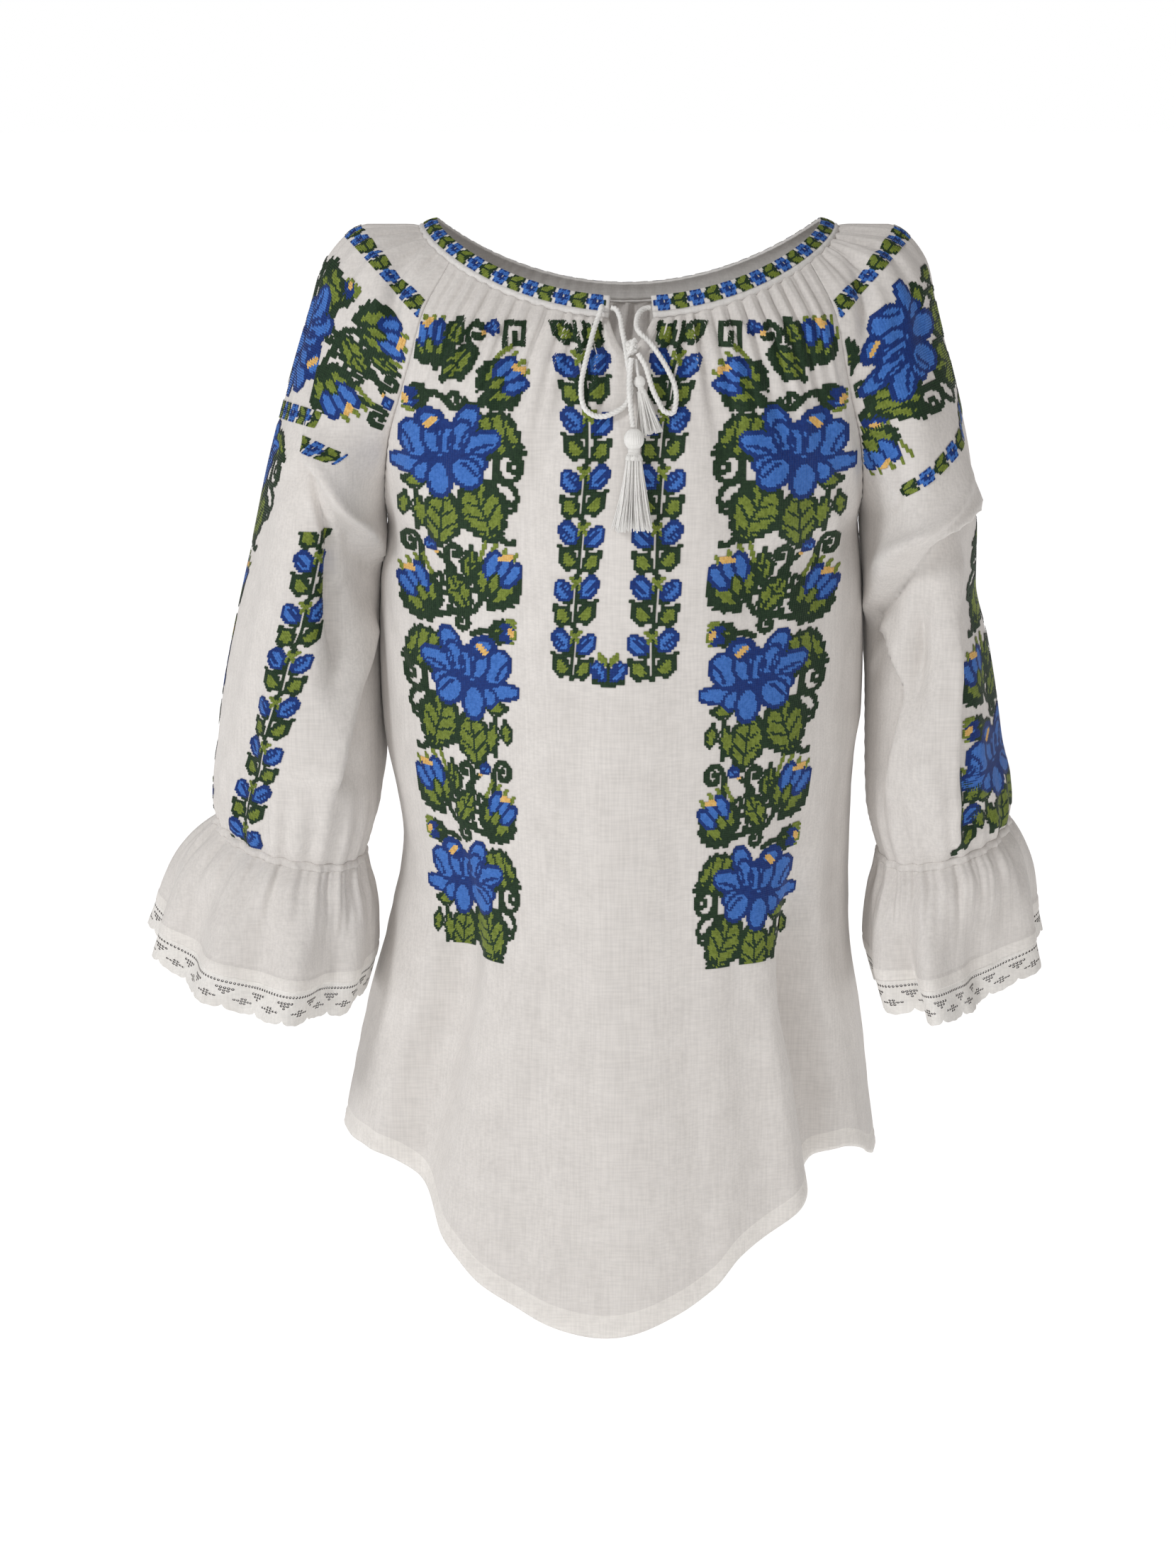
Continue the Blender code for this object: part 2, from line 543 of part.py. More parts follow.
def make_object(name, vertices, faces, material):
    mesh = bpy.data.meshes.new(name)
    mesh.from_pydata([tuple(v) for v in vertices], [], [tuple(f) for f in faces])
    bm = bmesh.new()
    bm.from_mesh(mesh)
    bmesh.ops.triangulate(bm, faces=bm.faces[:])
    if bm.calc_volume(signed=True) < 0:
        bmesh.ops.reverse_faces(bm, faces=bm.faces[:])
    bm.to_mesh(mesh)
    bm.free()
    mesh.shade_smooth()
    mesh.set_sharp_from_angle(angle=math.radians(50))
    mesh.materials.append(material)
    piece = bpy.data.objects.new(name, mesh)
    bpy.context.scene.collection.objects.link(piece)
    return piece


def finish(name, colour, roughness):
    material = bpy.data.materials.new(name)
    material.use_nodes = True
    shader = material.node_tree.nodes["Principled BSDF"]
    shader.inputs["Base Color"].default_value = (*colour, 1)
    shader.inputs["Roughness"].default_value = roughness
    return material


def seam_normal(face, side, down):
    """The direction that both pieces' edges face along a raglan seam, so that the edges stay parallel."""
    step = 0.01
    low, high = max(down - step, 0.0), min(down + step, 1.0)
    along = unit(raglan(face, side, high) - raglan(face, side, low))
    seam = raglan(face, side, down)
    into_body = body_base(face, side * (1 - 2 * step), down) - seam
    into_sleeve = sleeve_base(side, face * (1 - 2 * step), down) - seam
    both = -(unit(into_body) + unit(into_sleeve))
    rough = unit(np.cross(along, unit(into_sleeve) - unit(into_body)))
    if np.dot(rough, seam - np.array([0, 0, -0.12])) < 0:
        rough = -rough
    deep = smooth_step((down - 0.6) / 0.3)
    n = rough * (1 - deep) + both * deep if down > 0.6 else rough
    return unit(n - along * np.dot(n, along)), along


def raglan_pin(face, side, down, for_sleeve):
    """Where a piece's edge lies on a raglan seam, and the way that it faces."""
    if down >= 1.0:
        towards = -1 if for_sleeve else 1
        normal = unit(np.array([towards * side * 0.7, 0.0, -0.7]))
        seam = raglan(face, side, 1.0)
        shift = np.array([side * half_gap(1.0), 0, 0]) * (1 if for_sleeve else -1)
        own = np.zeros(3) if for_sleeve else np.array([0, face * SEAM_HALF_GAP, 0])
        return seam + shift + own, normal
    normal, along = seam_normal(face, side, down)
    beside = unit(np.cross(normal, along))
    if beside[0] * side < 0:
        beside = -beside
    gap = half_gap(down) * (1 if for_sleeve else -1)
    return raglan(face, side, down) + beside * gap, normal


def edge_offset(phi):
    """The small step down from the neckband's lower edge to a gathered edge."""
    rise = neck(phi, 1 + 0 * phi) - neck(phi, 0 * phi)
    return -unit(rise) * EDGE_GAP


def band_normal(phi):
    """The way that the neckband faces, which the gathered edges below it share."""
    d = SLOPE_STEP
    along = neck(phi + d, 0 * phi) - neck(phi - d, 0 * phi)
    rise = neck(phi, 1 + 0 * phi) - neck(phi, 0 * phi)
    return unit(np.cross(along, rise))


def body_panel(name, face, folds, gathers, material):
    """The front or the back, from the neckband to the hem."""
    sheet = Sheet()
    half_columns = np.linspace(0, 1, BODY_COLUMNS // 2 + 1)
    plain = np.concatenate([-half_columns[:0:-1], half_columns])
    if face < 0:
        right = gather_lines(gathers, 0.0, 1.0, FRONT_SEEDS[1])
        left = gather_lines(gathers, -1.0, 0.0, FRONT_SEEDS[-1])
        sides = [left, right]
    else:
        sides = [gather_lines(gathers, -1.0, 1.0, BACK_SEED)]
    previous = []
    for down in RAGLAN_ROWS + BODY_ROWS:
        gather = float(spline(NECK_GATHERS, "height", down))
        split = face < 0 and down < SLIT_END
        gathered = down <= GATHERED_TO
        runs = sides if gathered else [(plain, np.zeros_like(plain))]
        if gathered and len(runs) == 2 and not split:
            runs = [tuple(np.concatenate([a, b[1:]]) for a, b in zip(left, right))]
        current = []
        for k, (place, strength) in enumerate(runs):
            near = place.copy()
            if split:
                near[-1 if k == 0 else 0] = -1e-6 if k == 0 else 1e-6
            base = body_base(face, near, down)
            d = SLOPE_STEP
            along = body_base(face, np.clip(near + d, -1, 1), down) - body_base(
                face, np.clip(near - d, -1, 1), down
            )
            slope = body_base(face, near, down + d) - body_base(face, near, max(down - d, 0))
            normal = unit(np.cross(along, slope))
            normal *= np.sign(normal[len(near) // 2] @ np.array([0, face, 0]))
            height = strength * gather + fold_height(folds, near, down, 2.0)
            height *= 1 - np.abs(place) ** BODY_CALM
            surface = base + normal * height[:, None]
            if down == 0.0:
                phi = near * math.radians(RAGLAN_ANGLE)
                surface += edge_offset(phi if face < 0 else math.pi - phi)
            indices = sheet.row(surface)
            if down == 0.0:
                sheet.pin(indices, band_normal(phi if face < 0 else math.pi - phi))
            if k == 0:
                pin_side(sheet, indices[0], face, -1, down)
            if k == len(runs) - 1:
                pin_side(sheet, indices[-1], face, 1, down)
            current.append((indices, place))
        join_rows(sheet, previous, current)
        previous = current
    return sheet.solid(name, WALL, material, lambda p: np.array([0, face, 0]))


def join_rows(sheet, previous, current):
    """Joins the runs of a row to those of the next, where a row beside the slit has two runs."""
    if len(previous) == 2 and len(current) == 1:
        indices, place = current[0]
        middle = int(np.argmin(np.abs(place)))
        current = [(indices[: middle + 1], place[: middle + 1]), (indices[middle:], place[middle:])]
    for (upper, upper_at), (lower, lower_at) in zip(previous, current):
        sheet.join(upper, upper_at, lower, lower_at)


def pin_side(sheet, index, face, side, down):
    """Sets the edge point of a body row on the raglan seam, or on the side seam below the armpit."""
    if down <= 1.0:
        place, normal = raglan_pin(face, side, down, False)
        if down == 0.0:
            phi = side * math.radians(RAGLAN_ANGLE)
            place = place + edge_offset(np.array(phi if face < 0 else math.pi - phi))
    else:
        place, normal = sheet.points[index], np.array([side, 0, 0], float)
    sheet.pinned[index] = (place, normal)


def sleeve(name, side, folds, material):
    """A raglan sleeve, from the neckband over the shoulder and down the arm to the elastic."""
    sheet = Sheet()
    top_lines = gather_lines(CAP_GATHERS, -1.0, 1.0, CAP_SEEDS[side])
    cuff_lines = cuff_gathers(side)
    plain = np.linspace(-1, 1, ARM_COLUMNS + 1)
    previous = None
    for down in RAGLAN_ROWS + ARM_ROWS:
        gather = float(spline(NECK_GATHERS, "height", down))
        if down <= GATHERED_TO:
            place, strength = top_lines
        elif down >= CUFF_GATHER_ROWS[1].down:
            place, strength = cuff_lines
            gather = float(spline(CUFF_GATHER_ROWS, "height", down))
        else:
            place, strength = plain, np.zeros_like(plain)
        base = sleeve_base(side, place, down)
        d = SLOPE_STEP
        along = sleeve_base(side, place + d, down) - sleeve_base(side, place - d, down)
        low, high = max(down - d, 0), min(down + d, 2)
        slope = sleeve_base(side, place, high) - sleeve_base(side, place, low)
        normal = unit(np.cross(along, slope))
        normal *= np.sign(normal[len(place) // 2][0] * side)
        normal[:, 2] *= 1 - smooth_step((down - 1.9) / 0.1)
        normal = unit(normal)
        height = strength * gather + fold_height(folds, place, down, math.inf)
        window = 1 - np.abs(place) ** SLEEVE_CALM if down <= 1.0 else 1.0
        surface = base + normal * (height * window)[:, None]
        if down == 0.0:
            phi = side * (math.pi / 2 + place * math.radians(SLEEVE[0].open))
            surface += edge_offset(phi)
        indices = closed_row(sheet, surface) if down >= 1.0 else sheet.row(surface)
        if down == 0.0:
            sheet.pin(indices, band_normal(phi))
        elif down == 2.0:
            sheet.pin(indices[:-1], level_normals(surface[:-1]))
        if down < 1.0:
            for index, face in ((indices[0], -1), (indices[-1], 1)):
                pin, facing = raglan_pin(face, side, down, True)
                if down == 0.0:
                    phi = side * (math.pi / 2 + face * math.radians(SLEEVE[0].open))
                    pin = pin + edge_offset(np.array(phi))
                sheet.pinned[index] = (pin, facing)
        elif down == 1.0:
            sheet.pinned[indices[0]] = raglan_pin(-1, side, down, True)
        if previous:
            sheet.join(*previous, indices, place)
        previous = (indices, place)
    return sheet.solid(name, WALL, material, lambda p: p - arm_middle(side, p[2]))


def closed_row(sheet, surface):
    """A ring of points: the last place is the first one again."""
    indices = sheet.row(surface[:-1])
    return indices + [indices[0]]


def level_normals(ring):
    """Directions out from the middle of a ring, level with the floor."""
    return unit((ring - ring.mean(axis=0)) * np.array([1, 1, 0]))


def arm_middle(side, z):
    return np.array([side * ARM_MIDDLE[0], 0.0, min(z, ARM_MIDDLE[1])])


def cuff_gathers(side):
    place, strength = gather_lines(CUFF_GATHERS, -1.0, 1.0, CUFF_SEEDS[side])
    strength[[0, -1]] = -0.8
    return place, strength


def flounce_surface(side, folds, place, strength, down):
    """A ring of the flounce or its lace: gathers at the top, broad waves at the foot."""
    base = arm_row(FLOUNCE, side, place * math.pi, down, 0.0)
    d = SLOPE_STEP
    along = arm_row(FLOUNCE, side, (place + d) * math.pi, down, 0.0) - arm_row(
        FLOUNCE, side, (place - d) * math.pi, down, 0.0
    )
    low, high = max(down - d, 0.0), min(down + d, 2.0)
    slope = arm_row(FLOUNCE, side, place * math.pi, high, 0.0) - arm_row(
        FLOUNCE, side, place * math.pi, low, 0.0
    )
    normal = unit(np.cross(along, slope))
    normal *= np.sign(normal[len(place) // 2][0] * side)
    normal[:, 2] *= smooth_step(down / 0.35)
    normal = unit(normal)
    wave = np.sin(FLOUNCE_WAVES * math.pi * place + WAVE_PHASE[side]) * WAVE_HEIGHT * smooth_step(down)
    wave *= 1 - 0.8 * place**8
    gather = strength * float(spline(FLOUNCE_GATHER_ROWS, "height", min(down, 0.7)))
    height = gather + wave + fold_height(folds, place, down, 2.0)
    return base + normal * height[:, None]


def flounce(name, side, folds, rows, wall, material):
    """A tube below the elastic: the flounce, or the lace along its hem."""
    sheet = Sheet()
    place, strength = cuff_gathers(side)
    previous = None
    for down in rows:
        surface = flounce_surface(side, folds, place, strength, down)
        indices = closed_row(sheet, surface)
        if down == 0.0:
            sheet.pin(indices[:-1], level_normals(surface[:-1]))
        if previous:
            sheet.join(previous, place, indices, place)
        previous = indices
    return sheet.solid(name, wall, material, lambda p: p - np.array([side * CUFF_MIDDLE, 0, p[2]]))


def neckband(material):
    """The folded band round the neck, open at the slit, with a plain roll along its lower edge."""
    opening = math.asin(SLIT_HALF_WIDTH / NECK_HALF_WIDTH)
    phi = np.linspace(opening, 2 * math.pi - opening, BAND_COLUMNS + 1)
    sheet = Sheet()
    previous = None
    lift = []
    for up, raised in ((0.0, 0.5), (PIPING_SHARE * 0.5, 1.0), (PIPING_SHARE, 0.3), (1.0, 0.0)):
        indices = sheet.row(neck(phi, up + 0 * phi))
        lift += [raised * PIPING_LIFT] * len(indices)
        if previous:
            sheet.join(previous, phi, indices, phi)
        previous = indices
    return sheet.solid("neckband", BAND_WALL, material, lambda p: p * np.array([1, 1, 0]), lift)


def near_the_slit():
    """Places of the plain front and its band around the slit, for what lies on them."""
    across, down = np.meshgrid(np.linspace(-0.5, 0.5, 121), np.linspace(0, 1, 241))
    phi, up = np.meshgrid(np.linspace(-0.5, 0.5, 121), np.linspace(0, 1, 13))
    return np.concatenate([body_base(-1, across, down).reshape(-1, 3), neck(phi, up).reshape(-1, 3)])


def tie_place(point, cloth):
    """Where a point of the tie is in space."""
    nearest = np.argmin(np.hypot(cloth[:, 0] - point.x, cloth[:, 2] - point.z))
    return np.array([point.x, cloth[nearest, 1] - point.lift, point.z])


def smooth_route(route, cloth, step):
    """A smooth curve through a route's own points, read at even steps."""
    p = np.array([tie_place(point, cloth) for point in route])
    at = np.concatenate([[0], np.cumsum(np.linalg.norm(np.diff(p, axis=0), axis=1))])
    tangent = np.gradient(p, at, axis=0)
    fine = np.linspace(0, at[-1], 40 * len(p))
    k = np.clip(np.searchsorted(at, fine, "right") - 1, 0, len(at) - 2)
    span = (at[k + 1] - at[k])[:, None]
    t = (fine[:, None] - at[k][:, None]) / span
    curve = (2 * t**3 - 3 * t**2 + 1) * p[k] + (3 * t**2 - 2 * t**3) * p[k + 1]
    curve += span * ((t**3 - 2 * t**2 + t) * tangent[k] + (t**3 - t**2) * tangent[k + 1])
    length = np.concatenate([[0], np.cumsum(np.linalg.norm(np.diff(curve, axis=0), axis=1))])
    even = np.linspace(0, length[-1], round(length[-1] / step) + 1)
    return np.stack([np.interp(even, length, curve[:, axis]) for axis in range(3)], axis=1)


def cord(name, route, cloth, material):
    """A round cord along a route."""
    places = smooth_route(route, cloth, CORD_STEP)
    curve = bpy.data.curves.new(name, "CURVE")
    curve.dimensions = "3D"
    curve.bevel_depth = CORD_THICK / 2
    curve.bevel_resolution = 2
    curve.use_fill_caps = True
    run = curve.splines.new("POLY")
    run.points.add(len(places) - 1)
    for point, place in zip(run.points, places):
        point.co = (*place, 1)
    curve.materials.append(material)
    bpy.context.scene.collection.objects.link(bpy.data.objects.new(name, curve))


def turned(rings, sides, flat):
    """Points and faces of a turned form. Each ring has a middle and a radius."""
    turn = np.linspace(0, 2 * math.pi, sides, endpoint=False)
    circle = points(np.cos(turn), flat * np.sin(turn), 0 * turn)
    vertices = [middle + circle * radius for middle, radius in rings]
    faces = []
    for ring in range(len(rings) - 1):
        for i in range(sides):
            a, b = ring * sides + i, ring * sides + (i + 1) % sides
            faces.append((a, b, b + sides, a + sides))
    faces.append(tuple(range(sides))[::-1])
    faces.append(tuple(range((len(rings) - 1) * sides, len(rings) * sides)))
    return np.concatenate(vertices), faces


def join_forms(forms):
    """Several forms' points and faces as one list of each."""
    vertices, faces, start = [], [], 0
    for form_vertices, form_faces in forms:
        vertices.append(form_vertices)
        faces += [tuple(i + start for i in face) for face in form_faces]
        start += len(form_vertices)
    return np.concatenate(vertices), faces


def tassel(plan, cloth, material):
    """A tassel: a round head, a collar, and strands that stand apart below it."""
    head, foot = tie_place(plan.head, cloth), tie_place(plan.foot, cloth)
    axis = unit(foot - head)
    rings = [(head + axis * row.below * plan.radius, row.radius * plan.radius) for row in TASSEL_HEAD]
    body = make_object(plan.name, *turned(rings, TASSEL_SIDES, TASSEL_FLAT), material)
    root = head + axis * STRAND_ROOT * plan.radius
    chance = np.random.default_rng(STRAND_SEED)
    strands = []
    for ring, count in enumerate(plan.rings):
        share = ring / (len(plan.rings) - 1)
        for k in range(count):
            turn = 2 * math.pi * (k + 0.5 * ring) / count
            out = share * np.array([math.cos(turn), math.sin(turn) * TASSEL_FLAT, 0.0])
            spread = out * np.array([plan.spread, -STRAND_FLAT * plan.radius, 0.0])
            start = root + out * plan.radius * ROOT_SPREAD
            end = start + (foot - root) * chance.uniform(0.93, 1.0) + spread
            path = [start + (end - start) * t for t in STRAND_AT]
            path[1] = path[1] + spread * 0.06
            thick = [STRAND_RADIUS * t for t in STRAND_THICK]
            strands.append(turned(list(zip(path, thick)), STRAND_SIDES, 1.0))
    skirt = make_object(plan.name + "_strands", *join_forms(strands), material)
    fuse(body, skirt)
    if plan.stem:
        top, foot = tie_place(plan.stem, cloth), head - axis * plan.radius * 0.6
        lean = [(top + (foot - top) * t, CORD_THICK * 0.45) for t in (0.0, 0.5, 1.0)]
        fuse(body, make_object(plan.name + "_stem", *turned(lean, STEM_SIDES, 1.0), material))


def fuse(body, added):
    """Joins one closed form to another and leaves one object."""
    union = body.modifiers.new("union", "BOOLEAN")
    union.operation = "UNION"
    union.object = added
    bpy.context.view_layer.update()
    mesh = bpy.data.meshes.new_from_object(body.evaluated_get(bpy.context.evaluated_depsgraph_get()))
    body.modifiers.clear()
    body.data = mesh
    bpy.data.objects.remove(added, do_unlink=True)


def knot(cloth, material):
    """The knot that the cords meet in, as one rounded wrap."""
    middle = tie_place(KNOT, cloth)
    turn = np.linspace(-1, 1, KNOT_RINGS) * math.radians(KNOT_REACH)
    half = np.array(KNOT_SIZE) / 2
    rings = [(middle + np.array([0, 0, -half[2] * math.sin(t)]), half[0] * math.cos(t)) for t in turn]
    make_object("tie_knot", *turned(rings, KNOT_SIDES, half[1] / half[0]), material)


def clear_scene():
    for piece in list(bpy.data.objects):
        bpy.data.objects.remove(piece, do_unlink=True)


def main():
    clear_scene()
    cloth = finish("cotton_voile", (0.80, 0.79, 0.77), 0.85)
    band = finish("neckband_cotton", (0.78, 0.79, 0.80), 0.8)
    lace = finish("cotton_lace", (0.82, 0.80, 0.77), 0.85)
    thread = finish("cotton_thread", (0.84, 0.83, 0.81), 0.7)
    body_panel("front", -1, FRONT_FOLDS, FRONT_GATHERS, cloth)
    body_panel("back", 1, BACK_FOLDS, BACK_GATHERS, cloth)
    neckband(band)
    sides = (
        ("left", -1, LEFT_SLEEVE_FOLDS, LEFT_FLOUNCE_FOLDS),
        ("right", 1, RIGHT_SLEEVE_FOLDS, RIGHT_FLOUNCE_FOLDS),
    )
    for word, side, sleeve_folds, flounce_folds in sides:
        sleeve("sleeve_" + word, side, sleeve_folds, cloth)
        flounce("flounce_" + word, side, flounce_folds, FLOUNCE_ROWS, WALL, cloth)
        flounce("lace_" + word, side, flounce_folds, LACE_ROWS, LACE_WALL, lace)
    cloth_places = near_the_slit()
    cord("tie_loop_left", LEFT_LOOP, cloth_places, thread)
    cord("tie_loop_right", RIGHT_LOOP, cloth_places, thread)
    cord("tie_tail", TAIL, cloth_places, thread)
    knot(cloth_places, thread)
    for plan in TASSELS:
        tassel(plan, cloth_places, thread)


main()
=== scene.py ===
# %% [markdown]
# # An embroidered peasant blouse
#
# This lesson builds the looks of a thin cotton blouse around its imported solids. The blouse hangs in
# the hollow form that it has when it is worn. Its sleeves and body are gathered into a round
# neckband, and columns of cross-stitched roses run down the front and the sleeves.
#
# All lengths are metres, +Z is up, and the front faces -Y. "Left" is the left of someone who looks
# at the front, so it is -X.

# %% The frame
import json
import math
from collections import namedtuple

import bpy
import numpy as np
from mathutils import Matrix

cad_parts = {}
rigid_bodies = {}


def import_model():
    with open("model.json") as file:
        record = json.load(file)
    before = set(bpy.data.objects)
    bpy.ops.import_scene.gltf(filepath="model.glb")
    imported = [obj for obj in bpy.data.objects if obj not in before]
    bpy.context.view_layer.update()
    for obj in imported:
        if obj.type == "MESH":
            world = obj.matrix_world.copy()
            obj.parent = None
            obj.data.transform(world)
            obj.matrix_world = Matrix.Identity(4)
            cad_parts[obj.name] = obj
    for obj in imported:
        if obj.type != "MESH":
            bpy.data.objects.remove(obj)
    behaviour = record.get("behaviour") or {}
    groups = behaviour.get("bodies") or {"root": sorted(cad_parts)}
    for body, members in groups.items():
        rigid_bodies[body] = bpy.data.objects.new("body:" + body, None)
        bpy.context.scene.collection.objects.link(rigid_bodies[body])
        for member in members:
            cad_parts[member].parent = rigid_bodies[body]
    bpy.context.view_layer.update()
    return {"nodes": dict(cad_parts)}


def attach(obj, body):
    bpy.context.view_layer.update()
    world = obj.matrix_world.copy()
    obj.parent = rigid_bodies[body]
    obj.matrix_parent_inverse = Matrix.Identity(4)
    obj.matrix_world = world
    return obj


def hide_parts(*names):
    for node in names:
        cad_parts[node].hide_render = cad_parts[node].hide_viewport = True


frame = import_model()
print("nodes:", sorted(frame["nodes"]))

# %% [markdown]
# ## The camera
#
# The photograph looks a little down on the blouse from close by, so its hem seems to bow towards
# us. Blender fits the sensor to the longer side of the picture, and the lens follows from the
# camera's distance in picture heights.

# %% The camera
PICTURE = (1659, 2212)
FOCAL_PIXELS = 3690.0
SENSOR = 36.0
CAMERA_PLACE = (-0.022, -1.636, 0.124)
CAMERA_DOWN = 16.5  # degrees below level

lens = bpy.data.cameras.new("photo_camera")
lens.sensor_width = SENSOR
lens.lens = FOCAL_PIXELS / max(PICTURE) * SENSOR
camera = bpy.data.objects.new("photo_camera", lens)
camera.location = CAMERA_PLACE
camera.rotation_euler = (math.radians(90 - CAMERA_DOWN), 0, 0)
bpy.context.scene.collection.objects.link(camera)
bpy.context.scene.camera = camera
print("lens:", round(lens.lens, 2), "mm")

# %% [markdown]
# ## The blouse's cut
#
# The solids were worked out from a few tables: rows down a sleeve, rows down the middle of the
# front, and the largest folds. The same tables are used here for a finer surface, so that the cloth
# stays on the solids. Only the side seams, the hem and a few rows of the sleeves and flounces are
# trimmed, by some millimetres. A row gives each size at one place along the piece, and a smooth
# curve joins the rows.

# %% The neck and the slit
NECK_HALF_WIDTH = 0.128
NECK_FRONT = 0.0945
NECK_BACK = 0.085
NECK_CENTRE_X = 0.003
NECK_SIDE_Z = -0.004
NECK_FRONT_DIP = 0.045
NECK_BACK_DIP = 0.0545
NECK_DIP_POWER = 1.66
BAND_RISE_SIDE = (0.011, 0.004)
BAND_RISE_FRONT = (0.006, 0.0115)
BAND_RISE_BACK = (0.006, 0.0125)
SLIT_HALF_WIDTH = 0.013
SLIT_END = 0.125
SLIT_SPREAD = 0.3
RAGLAN_ANGLE = 57.0
NECK_REACH = 0.25  # how far down the pieces bend to meet the round neckband
SEAM_HALF_GAP = 0.00004
ARMPIT_HALF_GAP = 0.0009
print("neck:", 2 * NECK_HALF_WIDTH, "m wide")

# %% The rows of the sleeves and the flounces
def table(kind, *rows):
    """A row of the named kind from each group of numbers."""
    return [kind(*row) for row in rows]


SleeveRow = namedtuple("SleeveRow", "down out_left out_right out_z in_x in_z depth open y nod turn")
SLEEVE = table(
    SleeveRow,
    (0.00, 0.1280, 0.1280, -0.0040, 0.1074, -0.0203, 0.0945, 33, 0.000, 0.00, 0.00),
    (0.17, 0.1590, 0.1590, -0.0040, 0.1225, -0.0490, 0.0855, 55, 0.000, 0.00, 0.00),
    (0.33, 0.1830, 0.1835, -0.0240, 0.1300, -0.0790, 0.0740, 77, 0.000, 0.00, 0.00),
    (0.45, 0.1935, 0.1925, -0.0550, 0.1350, -0.0980, 0.0692, 94, 0.000, 0.00, 0.00),
    (0.62, 0.2070, 0.2055, -0.0980, 0.1430, -0.1280, 0.0675, 119, 0.000, 0.00, 0.00),
    (0.82, 0.2210, 0.2170, -0.1470, 0.1475, -0.1630, 0.0670, 150, 0.000, 0.00, 0.00),
    (1.00, 0.2305, 0.2220, -0.1870, 0.1490, -0.1870, 0.0660, 180, 0.000, 0.00, 0.00),
    (1.18, 0.2395, 0.2230, -0.2235, 0.1535, -0.2265, 0.0660, 180, -0.001, 0.02, 0.00),
    (1.36, 0.2480, 0.2320, -0.2590, 0.1550, -0.2640, 0.0640, 180, -0.003, 0.04, 0.03),
    (1.55, 0.2555, 0.2390, -0.2945, 0.1555, -0.3030, 0.0600, 180, -0.006, 0.06, 0.08),
    (1.72, 0.2605, 0.2445, -0.3270, 0.1560, -0.3390, 0.0560, 180, -0.009, 0.08, 0.12),
    (1.85, 0.2635, 0.2505, -0.3520, 0.1575, -0.3675, 0.0520, 180, -0.011, 0.09, 0.16),
    (1.94, 0.2635, 0.2515, -0.3690, 0.1620, -0.3865, 0.0490, 180, -0.012, 0.09, 0.18),
    (2.00, 0.2625, 0.2508, -0.3805, 0.1667, -0.4000, 0.0455, 180, -0.012, 0.09, 0.20),
)
FLOUNCE = table(
    SleeveRow,
    (0.00, 0.2628, 0.2512, -0.3815, 0.1665, -0.4010, 0.0460, 180, -0.012, 0.09, 0.20),
    (0.15, 0.2720, 0.2580, -0.3905, 0.1655, -0.4110, 0.0540, 180, -0.012, 0.09, 0.22),
    (0.35, 0.2850, 0.2645, -0.4040, 0.1620, -0.4250, 0.0600, 180, -0.011, 0.10, 0.24),
    (0.60, 0.2955, 0.2690, -0.4210, 0.1605, -0.4420, 0.0650, 180, -0.010, 0.10, 0.26),
    (0.85, 0.3022, 0.2705, -0.4390, 0.1610, -0.4600, 0.0690, 180, -0.010, 0.11, 0.28),
    (1.00, 0.3055, 0.2715, -0.4500, 0.1632, -0.4715, 0.0710, 180, -0.010, 0.11, 0.29),
    (2.00, 0.3125, 0.2755, -0.4675, 0.1697, -0.4945, 0.0745, 180, -0.010, 0.12, 0.30),
)
print("sleeve rows:", len(SLEEVE), "flounce rows:", len(FLOUNCE))

# %% The rows of the body
CentreRow = namedtuple("CentreRow", "down depth z sweep sag")
FRONT_CENTRE = table(
    CentreRow,
    (0.00, 0.0945, -0.0490, 57, 1.2),
    (0.05, 0.1005, -0.0580, 59, 1.2),
    (0.17, 0.1090, -0.0755, 63, 1.2),
    (0.45, 0.1195, -0.1180, 74, 1.2),
    (0.82, 0.1240, -0.1740, 85, 1.2),
    (1.00, 0.1240, -0.2030, 90, 1.2),
    (1.40, 0.1180, -0.4030, 90, 1.6),
    (1.70, 0.1180, -0.5530, 90, 2.6),
    (2.00, 0.1230, -0.7020, 90, 3.6),
)
BACK_CENTRE = table(
    CentreRow,
    (0.00, 0.0850, -0.0585, 57, 1.2),
    (0.05, 0.0885, -0.0675, 59, 1.2),
    (0.17, 0.0940, -0.0840, 63, 1.2),
    (0.45, 0.1020, -0.1210, 74, 1.2),
    (0.82, 0.1060, -0.1740, 85, 1.2),
    (1.00, 0.1060, -0.2010, 90, 1.2),
    (1.40, 0.1010, -0.4000, 90, 1.6),
    (1.70, 0.1010, -0.5480, 90, 2.6),
    (2.00, 0.1080, -0.6950, 90, 3.6),
)
SideRow = namedtuple("SideRow", "down left right z")
SIDE_SEAM = table(
    SideRow,
    (1.00, 0.1490, 0.1490, -0.187),
    (1.04, 0.1512, 0.1510, -0.2035),
    (1.09, 0.1540, 0.1530, -0.2240),
    (1.20, 0.1554, 0.1545, -0.2700),
    (1.28, 0.1549, 0.1548, -0.3034),
    (1.34, 0.1526, 0.1516, -0.3284),
    (1.40, 0.1476, 0.1499, -0.3535),
    (1.49, 0.1428, 0.1492, -0.3910),
    (1.63, 0.1527, 0.1505, -0.449),
    (1.78, 0.1687, 0.1607, -0.512),
    (1.90, 0.1790, 0.1670, -0.561),
    (2.00, 0.1870, 0.1730, -0.603),
)
HemRow = namedtuple("HemRow", "down rise")  # here down holds the place across the piece
